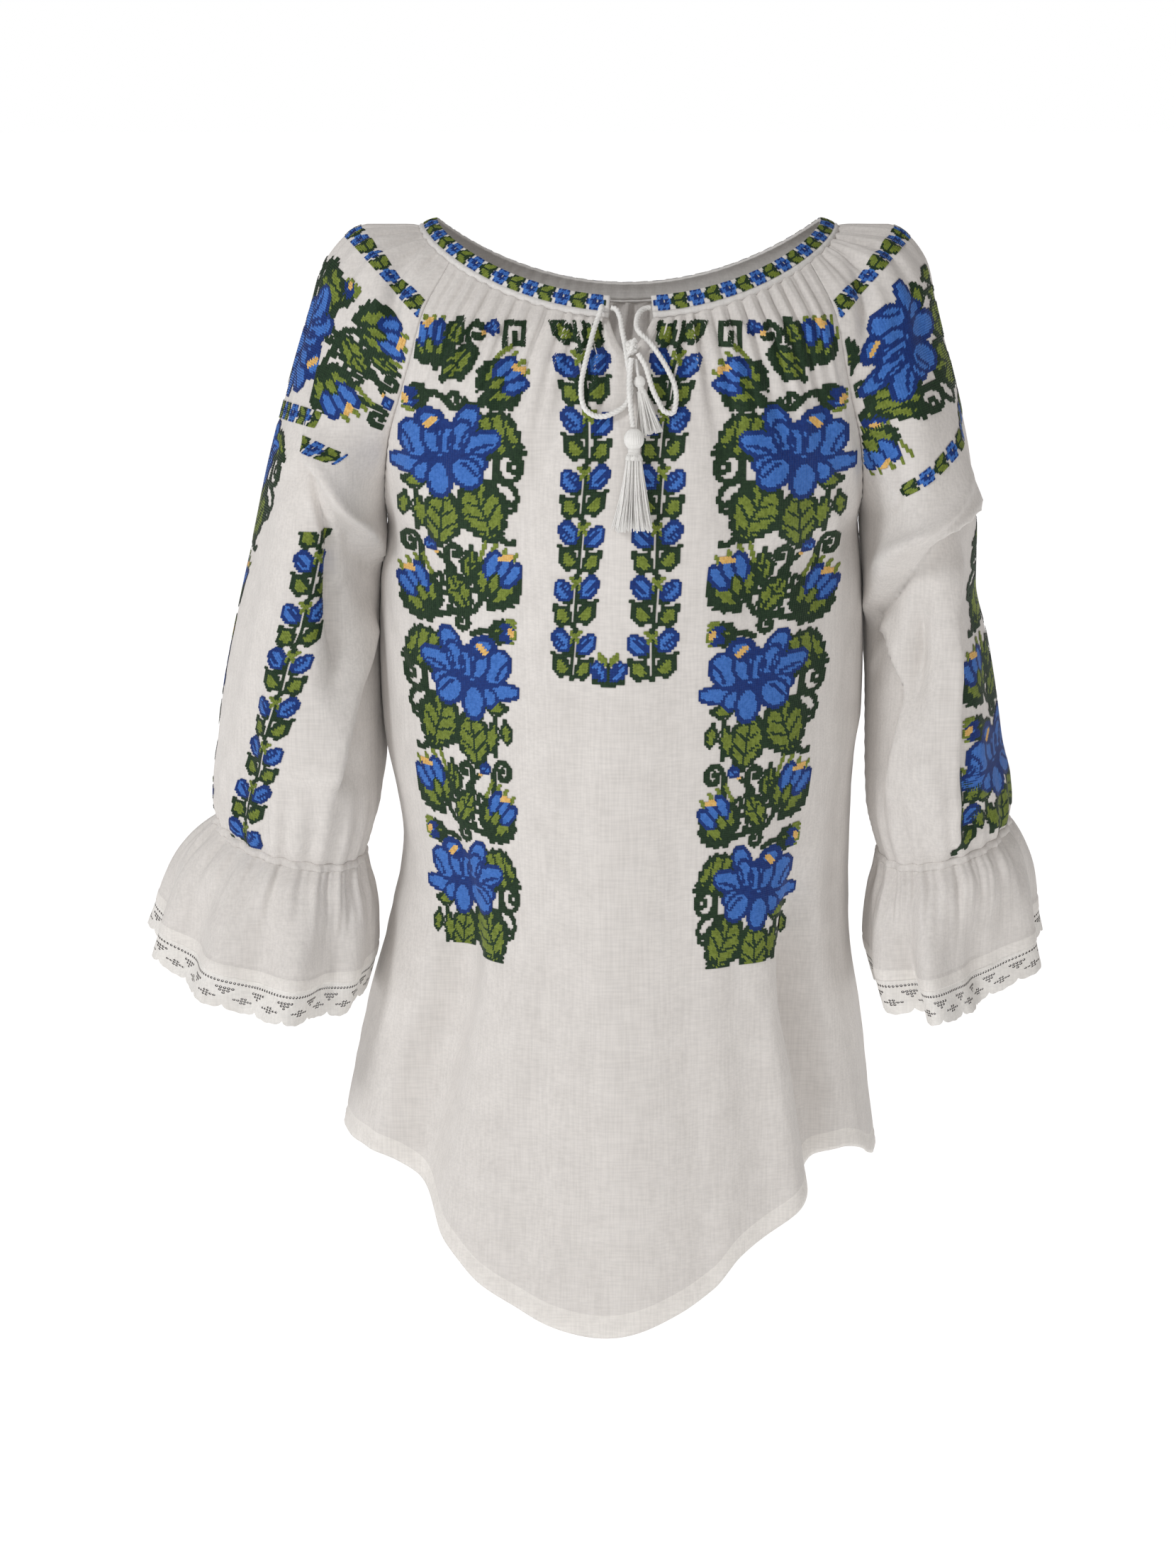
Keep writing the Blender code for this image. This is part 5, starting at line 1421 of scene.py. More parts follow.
# %% The lace edgings
def lace_edging(name, cloth):
    wide = 2 * LACE_CELLS * LACE_REPEATS
    column, row = np.meshgrid(np.arange(wide), np.arange(2 * LACE_ROWS + 1))
    columns, rows = [column.ravel().astype(float)], [row.ravel().astype(float)]
    count, flat, holes = column.size, [], []
    for i in range(LACE_ROWS):
        for j in range(LACE_CELLS * LACE_REPEATS):
            cell = [(0, 0), (0, 1), (0, 2), (1, 2), (2, 2), (2, 1), (2, 0), (1, 0)]
            ring = [(2 * i + a) * wide + (2 * j + b) % wide for a, b in cell]
            if j % LACE_CELLS not in LACE_HOLES.get(i, ()):
                flat.append(ring)
                continue
            turn = np.radians(225 + 45 * np.arange(8))
            size = 0.76 if i == 1 else 0.92
            columns.append(2 * j + 1 + size * np.cos(turn))
            rows.append(2 * i + 1 + size * np.sin(turn))
            hole = list(range(count, count + 8))
            count += 8
            holes.append(hole)
            flat.extend([ring[k], ring[(k + 1) % 8], hole[(k + 1) % 8], hole[k]] for k in range(8))
    columns, rows = np.concatenate(columns), np.concatenate(rows)
    across, down = -1 + 2 * columns / wide, 1 + lace_down(columns, rows)
    middle, normal = cloth.at(across, down), unit(cloth.read(cloth.normals, across, down))
    outer, inner = middle + normal * LACE_WALL / 2, middle - normal * LACE_WALL / 2
    for hole in holes:  # each opening narrows towards the back
        inner[hole] = inner[hole].mean(axis=0) + 0.3 * (inner[hole] - inner[hole].mean(axis=0))
    faces = flat + [[index + count for index in ring[::-1]] for ring in flat]
    plain = len(faces)
    for hole in holes:
        faces.extend([q, p, p + count, q + count] for p, q in zip(hole, hole[1:] + hole[:1]))
    shaded = len(faces)
    for edge, flip in ((0, False), (2 * LACE_ROWS, True)):
        for k in range(wide):
            p, q = edge * wide + k, edge * wide + (k + 1) % wide
            faces.append([p, q, q + count, p + count][:: -1 if flip else 1])
    used = np.unique(np.concatenate([np.array(face) for face in faces]))
    new = np.zeros(2 * count, int)
    new[used] = np.arange(len(used))
    vertices = np.concatenate([outer, inner])[used]
    indices = np.zeros(len(faces), int)
    # the holes' walls take the second material, the near-black painted shade
    indices[plain:shaded] = 1
    faces = [new[face].tolist() for face in faces]
    return put(name, vertices, faces, [lace_cotton, lace_painted_shade], False, indices)


lace_bands, lace_cloths = {}, {}
for side, word in SIDES:
    lace_cloths[side] = flounce_cloth(side, np.linspace(1.0, 2.0, 14))
    lace_bands[side] = lace_edging(f"lace_{word}_edging", lace_cloths[side])
    print("lace", word, len(lace_bands[side].data.polygons), "faces")

# %% [markdown]
# ## The neckband
#
# The band is a folded strip of cotton with the drawstring inside, so it is slightly puffed. A narrow
# plain roll, a piping, runs along its lower edge.

# %% The band
BAND_WALL = 0.0022
PIPING_SHARE = 0.22
band_open = math.asin(SLIT_HALF_WIDTH / NECK_HALF_WIDTH)
band_phi = np.linspace(band_open, 2 * math.pi - band_open, 421)
band_up = np.array([0.0, 0.05, 0.11, 0.17, 0.22, 0.26, 0.33, 0.42, 0.52, 0.63, 0.74, 0.84, 0.92, 0.97, 1.0])
grid_phi, grid_up = np.meshgrid(band_phi, band_up)
band_places = neck(grid_phi, grid_up)
band_swell = 0.0006 * np.sin(math.pi * np.clip((grid_up - PIPING_SHARE) / (1 - PIPING_SHARE), 0, 1))
roll = 0.0007 * np.sin(math.pi * np.clip(grid_up / PIPING_SHARE, 0, 1)) * (grid_up < PIPING_SHARE)
pucker = 0.00016 * np.sin(grid_phi * 95 + 1.5 * np.sin(grid_phi * 13))
tucked = -0.0007 * (1 - smooth_step(grid_up / 0.10))  # the edge dips to the gathers that it is sewn to
band_cloth = Cloth(band_phi, band_up, band_places, (0, 1, 0), band_swell + roll + pucker + tucked)
band = shell("neckband_cloth", band_cloth, BAND_WALL, band_cotton)
print("neckband:", len(band.data.polygons), "faces")

# %% [markdown]
# ## Charts for the cross-stitch
#
# Cross-stitch is worked on a grid, so every motif is a small chart: an array with the number of a
# thread colour, or 0 for bare cloth, in each cell. The motifs are drawn with a few pens that know
# what a petal, a leaf, a scroll or a bud looks like in this kind of work, each with its dark
# outline. Drawing them this way keeps the stepped edges that give cross-stitch its look.

# %% The pens
DARK_BLUE, LIGHT_BLUE, DARK_GREEN, LIGHT_GREEN, YELLOW = 1, 2, 3, 4, 5
FIELD = 60  # cells across the broad border
UNIT = 1.25  # cells in one unit of the broad border's drawings, which are 48 units wide


def unit_of(chart):
    """The broad border is drawn in units. The narrow bands are drawn in cells."""
    return UNIT if chart.shape[1] >= FIELD else 1.0


def turned(chart, u, v, angle):
    """Each cell's distance along and across a direction through a point. Angles turn clockwise."""
    u, v = u * unit_of(chart), v * unit_of(chart)
    row, column = np.indices(chart.shape)
    c, s = math.cos(math.radians(angle)), math.sin(math.radians(angle))
    x, y = column + 0.5 - u, row + 0.5 - v
    return x * c + y * s, -x * s + y * c


def leaf(chart, u, v, length, width, angle, edge=1.5, veins=True, point=1.6):
    """A leaf with a thick dark outline, a middle vein and slanting side veins."""
    along, aside = turned(chart, u, v, angle)
    length, width, edge = length * unit_of(chart), width * unit_of(chart), edge * unit_of(chart)
    s = np.clip(2 * along / length, -1, 1)
    reach = width / 2 * (1 - np.abs(s) ** point) * (1 + 0.25 * s)
    reach = reach + (0.9 if length > 15 else 0.4) * (np.floor(along / 2.0) % 2) - 0.2
    inside = (np.abs(2 * along / length) < 1) & (np.abs(aside) < reach)
    flesh = inside & (np.abs(aside) < reach - edge) & (np.abs(s) < 1 - 2.4 * edge / length)
    chart[inside] = DARK_GREEN
    chart[flesh] = LIGHT_GREEN
    if veins:
        chart[flesh & (np.abs(aside) < 0.6)] = DARK_GREEN
        slant = (along + 0.8 * np.abs(aside)) % 6.4
        chart[flesh & (slant < 1.5) & (np.abs(aside) < reach - edge - 1.0)] = DARK_GREEN
        chart[inside & (s < -0.62) & (aside > 0)] = DARK_GREEN


def petal(chart, u, v, length, width, angle, edge=1.35, shade=0.0, square=2.4):
    """A petal: light inside a dark outline, with a dark stroke along one side."""
    along, aside = turned(chart, u, v, angle)
    length, width, shade = length * unit_of(chart), width * unit_of(chart), shade * unit_of(chart)
    edge = edge * (1.0 if unit_of(chart) == 1 else 1.35)
    form = np.abs(2 * along / length) ** square + np.abs(2 * aside / width) ** square
    inner = np.abs(2 * along / (length - 2 * edge)) ** square
    inner += np.abs(2 * aside / (width - 2 * edge)) ** square
    chart[form < 1] = DARK_BLUE
    chart[inner < 1] = LIGHT_BLUE
    if shade:
        stroke = (np.abs(aside - shade - 0.03 * along**2) < 0.75) & (np.abs(along) < 0.28 * length)
        chart[(inner < 0.9) & stroke] = DARK_BLUE


print("cells in a unit of the broad border:", UNIT)


# %% Lines and curls
def stroke(chart, route, colour=DARK_GREEN, thick=1.5):
    """A line through the listed places, rounded where it turns."""
    p, thick = np.array(route, float) * unit_of(chart), thick * unit_of(chart)
    fine = np.linspace(0, len(p) - 1, 24 * len(p))
    k = np.clip(fine.astype(int), 0, len(p) - 2)
    slope = np.gradient(p, axis=0)
    curve = between((fine - k)[:, None], 1.0, p[k], p[k + 1], slope[k], slope[k + 1])
    row, column = np.indices(chart.shape)
    for x, y in curve:
        chart[np.hypot(column + 0.5 - x, row + 0.5 - y) < thick / 2 + 0.12] = colour


def scroll(chart, u, v, size, start, turns=1.15, hand=1, thick=1.7, tail=()):
    """A curl that winds into its own middle, with an optional tail from its outer end."""
    t = np.linspace(0, 1, 12)
    angle = np.radians(start) + hand * t * turns * 2 * math.pi
    radius = size / 2 * (1 - 0.78 * t)
    route = list(tail) + [(u + r * math.cos(a), v + r * math.sin(a)) for a, r in zip(angle, radius)]
    stroke(chart, route, DARK_GREEN, thick)


print("thread colours:", YELLOW)


# %% Buds and small flowers
def bud(chart, u, v, size, angle, flip=1):
    """A half-open flower in its green cup. angle is the way that it points."""
    c, s = math.cos(math.radians(angle)), math.sin(math.radians(angle))

    def place(forward, aside):
        return u + size * (forward * c - flip * aside * s), v + size * (forward * s + flip * aside * c)

    for aside in (-0.46, -0.30, -0.12, 0.08, 0.26):
        stroke(chart, [place(0.10, aside), place(0.56 - 0.5 * aside**2, aside * 1.12)], LIGHT_GREEN, 1.1)
    leaf(chart, *place(-0.20, 0.22), 0.92 * size, 0.56 * size, angle + flip * 16, 3.6, False, 2.2)
    leaf(chart, *place(-0.20, -0.22), 0.80 * size, 0.48 * size, angle - flip * 22, 3.2, False, 2.2)
    petal(chart, *place(0.16, 0.20), 0.58 * size, 0.32 * size, angle + flip * 10, 1.3, 0, 2.0)
    petal(chart, *place(0.14, -0.20), 0.60 * size, 0.36 * size, angle - flip * 12, 1.3, 0, 2.0)
    petal(chart, *place(0.20, 0.0), 0.56 * size, 0.28 * size, angle, 1.2, 0, 2.0)
    leaf(chart, *place(-0.16, -0.02), 0.50 * size, 0.26 * size, angle - flip * 10, 0.9, False)
    stroke(chart, [place(0.34, -0.12), place(0.44, 0.02)], YELLOW, 1.9)


def spot(chart, u, v, colour, radius):
    u, v = u * unit_of(chart), v * unit_of(chart)
    row, column = np.indices(chart.shape)
    chart[(np.abs(column + 0.5 - u) < radius) & (np.abs(row + 0.5 - v) < radius)] = colour


def small_flower(chart, u, v, angle, flip=1):
    """A tiny side flower: two blue petals and a yellow seed."""
    c, s = math.cos(math.radians(angle)), math.sin(math.radians(angle))
    petal(chart, u - 1.4 * c, v - 1.4 * s, 4.6, 3.6, angle + 70 * flip, 0.9)
    petal(chart, u + 0.6 * c, v + 0.6 * s - 1, 3.6, 3.0, angle, 0.9)
    spot(chart, u + 2.6 * c, v + 2.6 * s, YELLOW, 0.9)


trial = np.zeros((20, 20), int)
bud(trial, 10, 10, 16, 0)
print("stitches in a small bud:", np.count_nonzero(trial))


# %% The rose with its leaves
ROSE_ROWS = 59


def rose(chart, u, v, k=1.0):
    """A rose of nine petals round a heart. u and v are its middle, and k its scale."""
    petals = (
        (0.0, -3.0, 22, 18, 20, 0.0, 12),
        (9.0, -12.0, 13, 9, -66, 0.0, 1.3),
        (14.5, -4.5, 16, 9.5, -18, 1.1, 1.3),
        (12.6, 2.2, 10, 7, 8, 0.0, 1.2),
        (-13.0, 4.8, 15, 7.5, 4, 0.0, 1.3),
        (-10.0, -4.2, 15.5, 12, 60, 1.8, 1.3),
        (9.8, 6.0, 14, 11.5, 40, -1.8, 1.4),
        (6.8, -6.6, 13.5, 8.6, -70, 1.3, 1.3),
        (-3.2, -5.6, 14, 9.0, 78, -1.5, 1.3),
        (2.2, -4.4, 12, 6.4, -82, 0.8, 1.2),
        (-6.8, 7.2, 9, 8, 130, 0.0, 1.2),
        (-0.6, 9.8, 14.5, 10.5, 84, 0.0, 1.4),
    )
    for du, dv, length, width, angle, shade, edge in petals:
        petal(chart, u + k * du, v + k * dv, k * length, k * width, angle, edge, shade, 2.0)
    petal(chart, u - 4.6 * k, v - 12.0 * k, 11 * k, 8 * k, 6, 2.0)

    def line(colour, thick, *route):
        stroke(chart, [(u + k * du, v + k * dv) for du, dv in route], colour, thick)

    line(DARK_BLUE, 1.7, (-7.6, -9.4), (-3.0, -8.2), (-0.6, -11))
    line(YELLOW, 2.2, (-5.4, -9.8), (-3.2, -12.0))
    line(DARK_BLUE, 1.6, (-6.5, 2.0), (0, 3.0), (5.5, 1.0))


def rose_block():
    """One rose, its three large leaves, a sprig and a curl."""
    chart = np.zeros((ROSE_ROWS + 5, FIELD), int)
    leaf(chart, 36.0, 9.5, 23, 16, 22, 2.2)
    stroke(chart, [(41, 13), (45, 15.5), (47, 15)], DARK_GREEN, 1.6)
    leaf(chart, 33.0, 34.0, 29, 18, 66, 2.5)
    stroke(chart, [(38, 42), (42, 46), (45, 46)], DARK_GREEN, 1.8)
    leaf(chart, 19.0, 38.5, 24, 16, 96, 2.4)
    stroke(chart, [(38, 16), (38, 24), (35, 30)], DARK_GREEN, 2.4)
    scroll(chart, 43.5, 19.5, 7, 250, 0.9, 1, 1.5, [(39, 22), (41, 25.5), (44.5, 24), (46.3, 20.5)])
    scroll(chart, 42.5, 33.0, 5.5, -20, 1.0, 1, 1.5, [(40, 24), (44, 27), (45.6, 31)])
    stroke(chart, [(9, 28), (9.5, 33), (9.5, 45)], DARK_GREEN, 1.1)
    leaf(chart, 8.6, 27.5, 10, 5.6, 4, 1.3, False)
    leaf(chart, 5.0, 36.0, 10, 5.4, 100, 1.3, False)
    leaf(chart, 11.0, 38.0, 13, 6.0, 78, 1.4, False)
    rose(chart, 18.6, 17.0, 0.94)
    return chart


print("stitches in the rose's block:", np.count_nonzero(rose_block()))


# %% The buds and scrolls between the roses
GROUP_ROWS = 43


def group_block():
    chart = np.zeros((GROUP_ROWS + 7, FIELD), int)
    scroll(chart, 6.5, 8.0, 8, -60, 1.1, -1, 1.8, [(11.5, 20), (10.8, 12), (10.5, 8)])
    small_flower(chart, 15.0, 7.5, 40)
    stroke(chart, [(18, 10), (22, 13), (25, 19)], DARK_GREEN, 1.5)
    scroll(chart, 23.5, 8.5, 7, 150, 0.95, 1, 1.7, [(26, 19), (21, 14)])
    leaf(chart, 24.5, 21.5, 18, 10, 58, 1.9)
    leaf(chart, 29.2, 12.0, 15, 7.0, 94, 1.7)
    bud(chart, 39.5, 15.5, 19, -62)
    bud(chart, 9.0, 23.5, 18, -128, -1)
    stroke(chart, [(12, 30), (17, 31), (24, 29), (30, 28), (33, 24)], DARK_GREEN, 1.6)
    scroll(chart, 25.5, 32.5, 7, -110, 1.1, 1, 1.7, [(21, 28)])
    bud(chart, 41.0, 34.5, 9, 10)
    stroke(chart, [(30, 36), (34, 34.5), (38, 35)], DARK_GREEN, 1.8)
    stroke(chart, [(15, 18), (18, 17), (18.5, 20), (16, 23)], DARK_GREEN, 1.4)
    return chart


def top_block():
    """The group that the border starts with, under the gathers."""
    chart = np.zeros((40, FIELD), int)
    bud(chart, 12.5, 8.0, 15, -96)
    leaf(chart, 20.5, 6.0, 13, 7, -66, 1.6)
    leaf(chart, 22.5, 15.0, 16, 9, -48, 1.8)
    scroll(chart, 29.0, 5.0, 8, 130, 1.05, 1, 1.8, [(24, 20), (29, 12), (27, 9)])
    small_flower(chart, 33.6, 3.6, 150, -1)
    curl = ((48, 58, 1, 3), (48, 50, 1, 12), (56, 58, 1, 11), (52, 58, 9, 11), (52, 54, 5, 11))
    for left, right, top, foot in curl:
        chart[top:foot, left:right] = DARK_GREEN
    bud(chart, 39.0, 20.0, 17, -30)
    scroll(chart, 22.5, 26.5, 7, 20, 1.0, 1, 1.8, [(34, 27), (29, 28.5), (26, 27)])
    bud(chart, 8.5, 27.0, 9, 170)
    stroke(chart, [(12, 26), (16, 25), (19, 27)], DARK_GREEN, 1.6)
    return chart


print("stitches in the group's block:", np.count_nonzero(group_block()))


# %% The broad border
def lay(chart, block, start, mirror):
    """Works a block over a chart from a row down, as far as the chart goes."""
    part = chart[start : start + len(block)]
    block = (block[:, ::-1] if mirror else block)[: len(part)]
    part[block > 0] = block[block > 0]


def border(rows):
    """The broad border, from its first group down: rose, group, mirrored rose, mirrored group."""
    chart = np.zeros((rows + 60, FIELD), int)
    lay(chart, top_block(), 0, False)
    start, mirror = 35, False
    while start < rows:
        lay(chart, rose_block(), start, mirror)
        if start + ROSE_ROWS < rows:
            lay(chart, group_block(), start + ROSE_ROWS - 5, mirror)
        start += ROSE_ROWS + GROUP_ROWS - 5
        mirror = not mirror
    return chart[:rows]


print("border:", border(228).shape)

# %% The narrow vine and the rosette band
VINE = 19


def vine(rows):
    """Pairs of buds and leaves on a straight stem, every other pair mirrored."""
    unit_chart = np.zeros((20, VINE), int)
    stroke(unit_chart, [(10, 0), (9.6, 10), (10, 20)], DARK_GREEN, 1.0)
    leaf(unit_chart, 7.0, 8.2, 6.0, 5.0, 50, 4.0, False, 2.0)
    leaf(unit_chart, 13.4, 9.2, 5.6, 4.6, 132, 4.0, False, 2.0)
    petal(unit_chart, 4.4, 4.7, 10.0, 7.2, 52, 1.4, 0.8, 2.0)
    petal(unit_chart, 15.4, 6.2, 9.6, 6.8, 132, 1.3, 0.6, 2.0)
    stroke(unit_chart, [(8.6, 10.0), (9.8, 12.0)], DARK_GREEN, 1.2)
    stroke(unit_chart, [(0.8, 9.4), (3.2, 11.0), (6.0, 10.4)], DARK_GREEN, 1.1)
    leaf(unit_chart, 4.8, 14.5, 10.6, 7.4, 44, 1.8, False, 2.0)
    leaf(unit_chart, 15.0, 15.3, 10.6, 7.4, 134, 1.8, False, 2.0)
    stroke(unit_chart, [(8.2, 1.8), (9.8, 3.4), (12.0, 1.8)], LIGHT_GREEN, 1.0)
    stroke(unit_chart, [(8.4, 5.0), (9.8, 3.4), (11.6, 5.0)], LIGHT_GREEN, 1.0)
    pairs = [unit_chart if k % 2 == 0 else unit_chart[:, ::-1] for k in range(rows // 20 + 1)]
    return np.concatenate(pairs)[:rows]


BAND_ROWS = 9
BAND_PERIOD = 18


def rosette_band(columns):
    """Rosettes with leaf pairs between them, for the neckband and round the sleeves."""
    chart = np.zeros((BAND_ROWS, BAND_PERIOD), int)
    for angle in range(0, 360, 60):
        du, dv = 2.7 * math.cos(math.radians(angle)), 2.7 * math.sin(math.radians(angle))
        petal(chart, 5.0 + du, 4.5 + dv, 4.8, 3.8, angle, 0.6)
    spot(chart, 5.0, 4.5, DARK_BLUE, 1.6)
    spot(chart, 5.5, 4.0, 0, 0.6)
    leaf(chart, 13.5, 2.3, 10.2, 6.2, -22, 1.3, False)
    leaf(chart, 13.5, 6.8, 10.2, 6.2, 24, 1.3, False)
    stroke(chart, [(9.2, 4.6), (12.5, 4.6), (17.5, 4.4)], DARK_GREEN, 1.0)
    repeats = columns // BAND_PERIOD + 1
    return np.tile(chart, (1, repeats))[:, :columns]


print("vine:", vine(130).shape, "band:", rosette_band(400).shape)

# %% [markdown]
# ## Stitching a chart onto the cloth
#
# A chart needs a place on the cloth for every corner of its cells. On the front the rows run level
# and the columns follow two guide lines, because the cloth turns away towards the sides and the
# border narrows with it. Each stitch is two crossed arms of thread, a little raised in the middle,
# where one lies over the other.

# %% A thread
def thread(name, colour, other):
    """Stranded cotton: fine lines along the thread, a slight gloss, and an uneven dye."""
    material, shader, add, link = finish(name, colour, 0.6, 0.06)
    shader.inputs["Specular IOR Level"].default_value = 0.25
    place = add("TexCoord")
    vary(shader, add, link, colour, other, place, 560.0, (0.36, 0.64))
    strands = add("TexNoise", Scale=2600.0, Detail=2.0)
    link(place, "Object", strands, "Vector")
    bump = add("Bump", Strength=0.5, Distance=0.0002)
    link(strands, "Fac", bump, "Height")
    link(bump, "Normal", shader, "Normal")
    return material


print("materials before the threads:", len(bpy.data.materials))

# %% The five threads
threads = [
    thread("thread_dark_blue", (0.002, 0.022, 0.150), (0.005, 0.036, 0.200)),
    thread("thread_light_blue", (0.034, 0.135, 0.46), (0.058, 0.190, 0.58)),
    thread("thread_dark_green", (0.006, 0.024, 0.008), (0.014, 0.040, 0.014)),
    thread("thread_light_green", (0.125, 0.170, 0.020), (0.205, 0.265, 0.040)),
    thread("thread_yellow", (0.66, 0.38, 0.10), (0.80, 0.52, 0.18)),
]
print("threads:", [made.name for made in threads])

# %% Crossed arms
ARM_WIDTH = 0.70  # of the cell
ARM_LIFT = (0.00030, 0.00056)  # above the cloth at a stitch's corners and at its middle
LOWER_ARM, UPPER_ARM = 0.00004, 0.00010  # one arm of a stitch lies over the other
stitched = {"front": [], "sleeve_left": [], "sleeve_right": [], "neckband": []}


def stitches(name, node, chart, corners, normals, wall, shown=None):
    """Cross-stitches for every coloured cell. corners and normals have one more row and column."""
    mask = chart > 0
    if shown is not None:
        mask = mask & shown
    row, column = np.nonzero(mask)
    count = len(row)
    corner = corners + normals * (wall / 2)
    a, b = (row, column), (row, column + 1)
    c, d = (row + 1, column + 1), (row + 1, column)
    vertices, colours = [], []
    for low, high, upper in ((a, c, False), (d, b, True)):
        start, end = corner[low], corner[high]
        n = unit(normals[low] + normals[high])
        along = end - start
        reach = np.linalg.norm(along, axis=1) * ARM_WIDTH / math.sqrt(2) / 2
        half = unit(np.cross(n, along)) * reach[:, None]
        lift = n * (ARM_LIFT[0] + (UPPER_ARM if upper else LOWER_ARM))
        start, end = start + lift, end + lift
        if upper:
            middle = (start + end) / 2 + n * (ARM_LIFT[1] - ARM_LIFT[0])
            arm = [start - half, start + half, middle + half, middle - half, end + half, end - half]
        else:
            arm = [start - half, start + half, end + half, end - half]
        vertices.append(np.stack(arm, 1).reshape(-1, 3))
        colours.append(np.repeat(chart[row, column] - 1, 2 if upper else 1))
    vertices = np.concatenate(vertices)
    under = 4 * np.arange(count)[:, None] + np.arange(4)
    base = 4 * count + 6 * np.arange(count)[:, None]
    over = np.stack([base + [0, 1, 2, 3], base + [3, 2, 4, 5]], 1).reshape(-1, 4)
    faces = np.concatenate([under, over])
    piece = put(name, vertices, faces.tolist(), threads, False, np.concatenate(colours))
    stitched[node].append(piece)
    print(name, count, "stitches")


# %% Guide lines on the front
STITCH = 0.001396
EDGE_CLEAR = 0.985  # no stitch goes further across a piece than this
BORDER_TOP = -0.0495
BORDER_ROWS = 285
# Where the border's outer and inner edges run: height, then x of both edges.
Guide = namedtuple("Guide", "down outer inner")
BORDER_GUIDES = {
    -1: table(
        Guide,
        (0.0500, -0.1330, -0.0558),
        (0.0930, -0.1395, -0.0557),
        (0.1330, -0.1415, -0.0583),
        (0.1720, -0.1412, -0.0602),
        (0.2100, -0.1400, -0.0613),
        (0.2660, -0.1375, -0.0631),
        (0.3350, -0.1285, -0.0650),
        (0.4010, -0.1233, -0.0629),
        (0.4630, -0.1225, -0.0690),
    ),
    1: table(
        Guide,
        (0.0500, 0.1330, 0.0520),
        (0.0930, 0.1385, 0.0500),
        (0.1330, 0.1400, 0.0494),
        (0.1720, 0.1381, 0.0503),
        (0.2070, 0.1330, 0.0478),
        (0.2620, 0.1258, 0.0443),
        (0.3300, 0.1161, 0.0444),
        (0.3970, 0.1095, 0.0422),
        (0.4620, 0.1050, 0.0424),
    ),
}
PLACKET_GUIDES = {
    -1: table(
        Guide,
        (0.0495, -0.0462, -0.0150),
        (0.0690, -0.0425, -0.0088),
        (0.0965, -0.0383, -0.0074),
        (0.1285, -0.0375, -0.0082),
        (0.1620, -0.0393, -0.0114),
        (0.1955, -0.0410, -0.0147),
        (0.2300, -0.0437, -0.0167),
        (0.2650, -0.0447, -0.0209),
    ),
    1: table(
        Guide,
        (0.0493, 0.0499, 0.0190),
        (0.0690, 0.0443, 0.0145),
        (0.0965, 0.0380, 0.0104),
        (0.1285, 0.0353, 0.0071),
        (0.1615, 0.0343, 0.0039),
        (0.1950, 0.0334, 0.0032),
        (0.2300, 0.0321, 0.0013),
        (0.2650, 0.0325, 0.0015),
    ),
}


print("guide rows:", len(BORDER_GUIDES[1]) + len(PLACKET_GUIDES[1]))


# %% Rows and columns on the front
def front_at(x, z):
    """Where on the front cloth the places with this x and this height are."""
    places = front_cloth.places
    across, down = np.zeros_like(x), np.zeros_like(x)
    for i, level in enumerate(z[:, 0]):
        at = [np.interp(-level, -places[:, j, 2], front_cloth.down) for j in range(places.shape[1])]
        run = front_cloth.read(places, front_cloth.across, np.array(at))[:, 0]
        run = np.maximum.accumulate(run)
        across[i] = np.interp(x[i], run + 1e-9 * np.arange(len(run)), front_cloth.across)
        down[i] = np.interp(across[i], front_cloth.across, at)
    return across, down


def guided(guides, rows, columns, top, pitch):
    """The corners of a chart between two guide lines on the front."""
    height = top - pitch * np.arange(rows + 1)
    outer, inner = spline(guides, "outer", -height), spline(guides, "inner", -height)
    share = np.linspace(0, 1, columns + 1)[None, :]
    x = outer[:, None] + (inner - outer)[:, None] * share
    across, down = front_at(x, np.repeat(height[:, None], columns + 1, axis=1))
    return front_cloth.at(across, down), unit(front_cloth.read(front_cloth.normals, across, down)), across


border_chart = border(BORDER_ROWS)
for side, word in SIDES:
    corners, normals, across = guided(BORDER_GUIDES[side], BORDER_ROWS, FIELD, BORDER_TOP, STITCH)
    clear = np.abs(across[:-1, :-1]) < EDGE_CLEAR
    stitches(f"border_{word}", "front", border_chart, corners, normals, CLOTH_WALL, clear)

# %% The placket's vines
VINE_TOP = -0.0505
VINE_ROWS = 131
VINE_STITCH = 0.00163
VINE_CUT = 11  # the top of the placket starts with leaves
vine_chart = vine(VINE_ROWS + VINE_CUT)[VINE_CUT:]
vine_chart[-2:] = 0
for side, word in SIDES:
    corners, normals, _ = guided(PLACKET_GUIDES[side], VINE_ROWS, VINE, VINE_TOP, VINE_STITCH)
    stitches(f"placket_{word}", "front", vine_chart, corners, normals, CLOTH_WALL)

# %% The link below the vines
LINK = 13  # cells each way


def link_chart():
    """Two buds that face each other under a small green flower."""
    chart = np.zeros((LINK, LINK), int)
    petal(chart, 3.2, 7.4, 8.5, 5.4, 66, 1.2, 0.6)
    petal(chart, 9.8, 7.4, 8.5, 5.4, 114, 1.2, 0.6)
    stroke(chart, [(1.5, 11.2), (6.5, 12.0), (11.5, 11.2)], DARK_GREEN, 1.5)
    stroke(chart, [(3.4, 1.0), (6.0, 4.6)], LIGHT_GREEN, 1.7)
    stroke(chart, [(9.6, 1.0), (7.0, 4.6)], LIGHT_GREEN, 1.7)
    stroke(chart, [(6.5, 5), (6.5, 11)], DARK_GREEN, 1.1)
    return chart


link_guides = [Guide(0.20, -0.0212, 0.0015), Guide(0.30, -0.0212, 0.0015)]
link_top = VINE_TOP - VINE_STITCH * (VINE_ROWS - LINK)
corners, normals, _ = guided(link_guides, LINK, LINK, link_top, VINE_STITCH)
stitches("placket_link", "front", link_chart(), corners, normals, CLOTH_WALL)

# %% Rows and columns on the sleeves
SLEEVE_STITCH = (0.00164, 0.001424)  # round the sleeve and down it


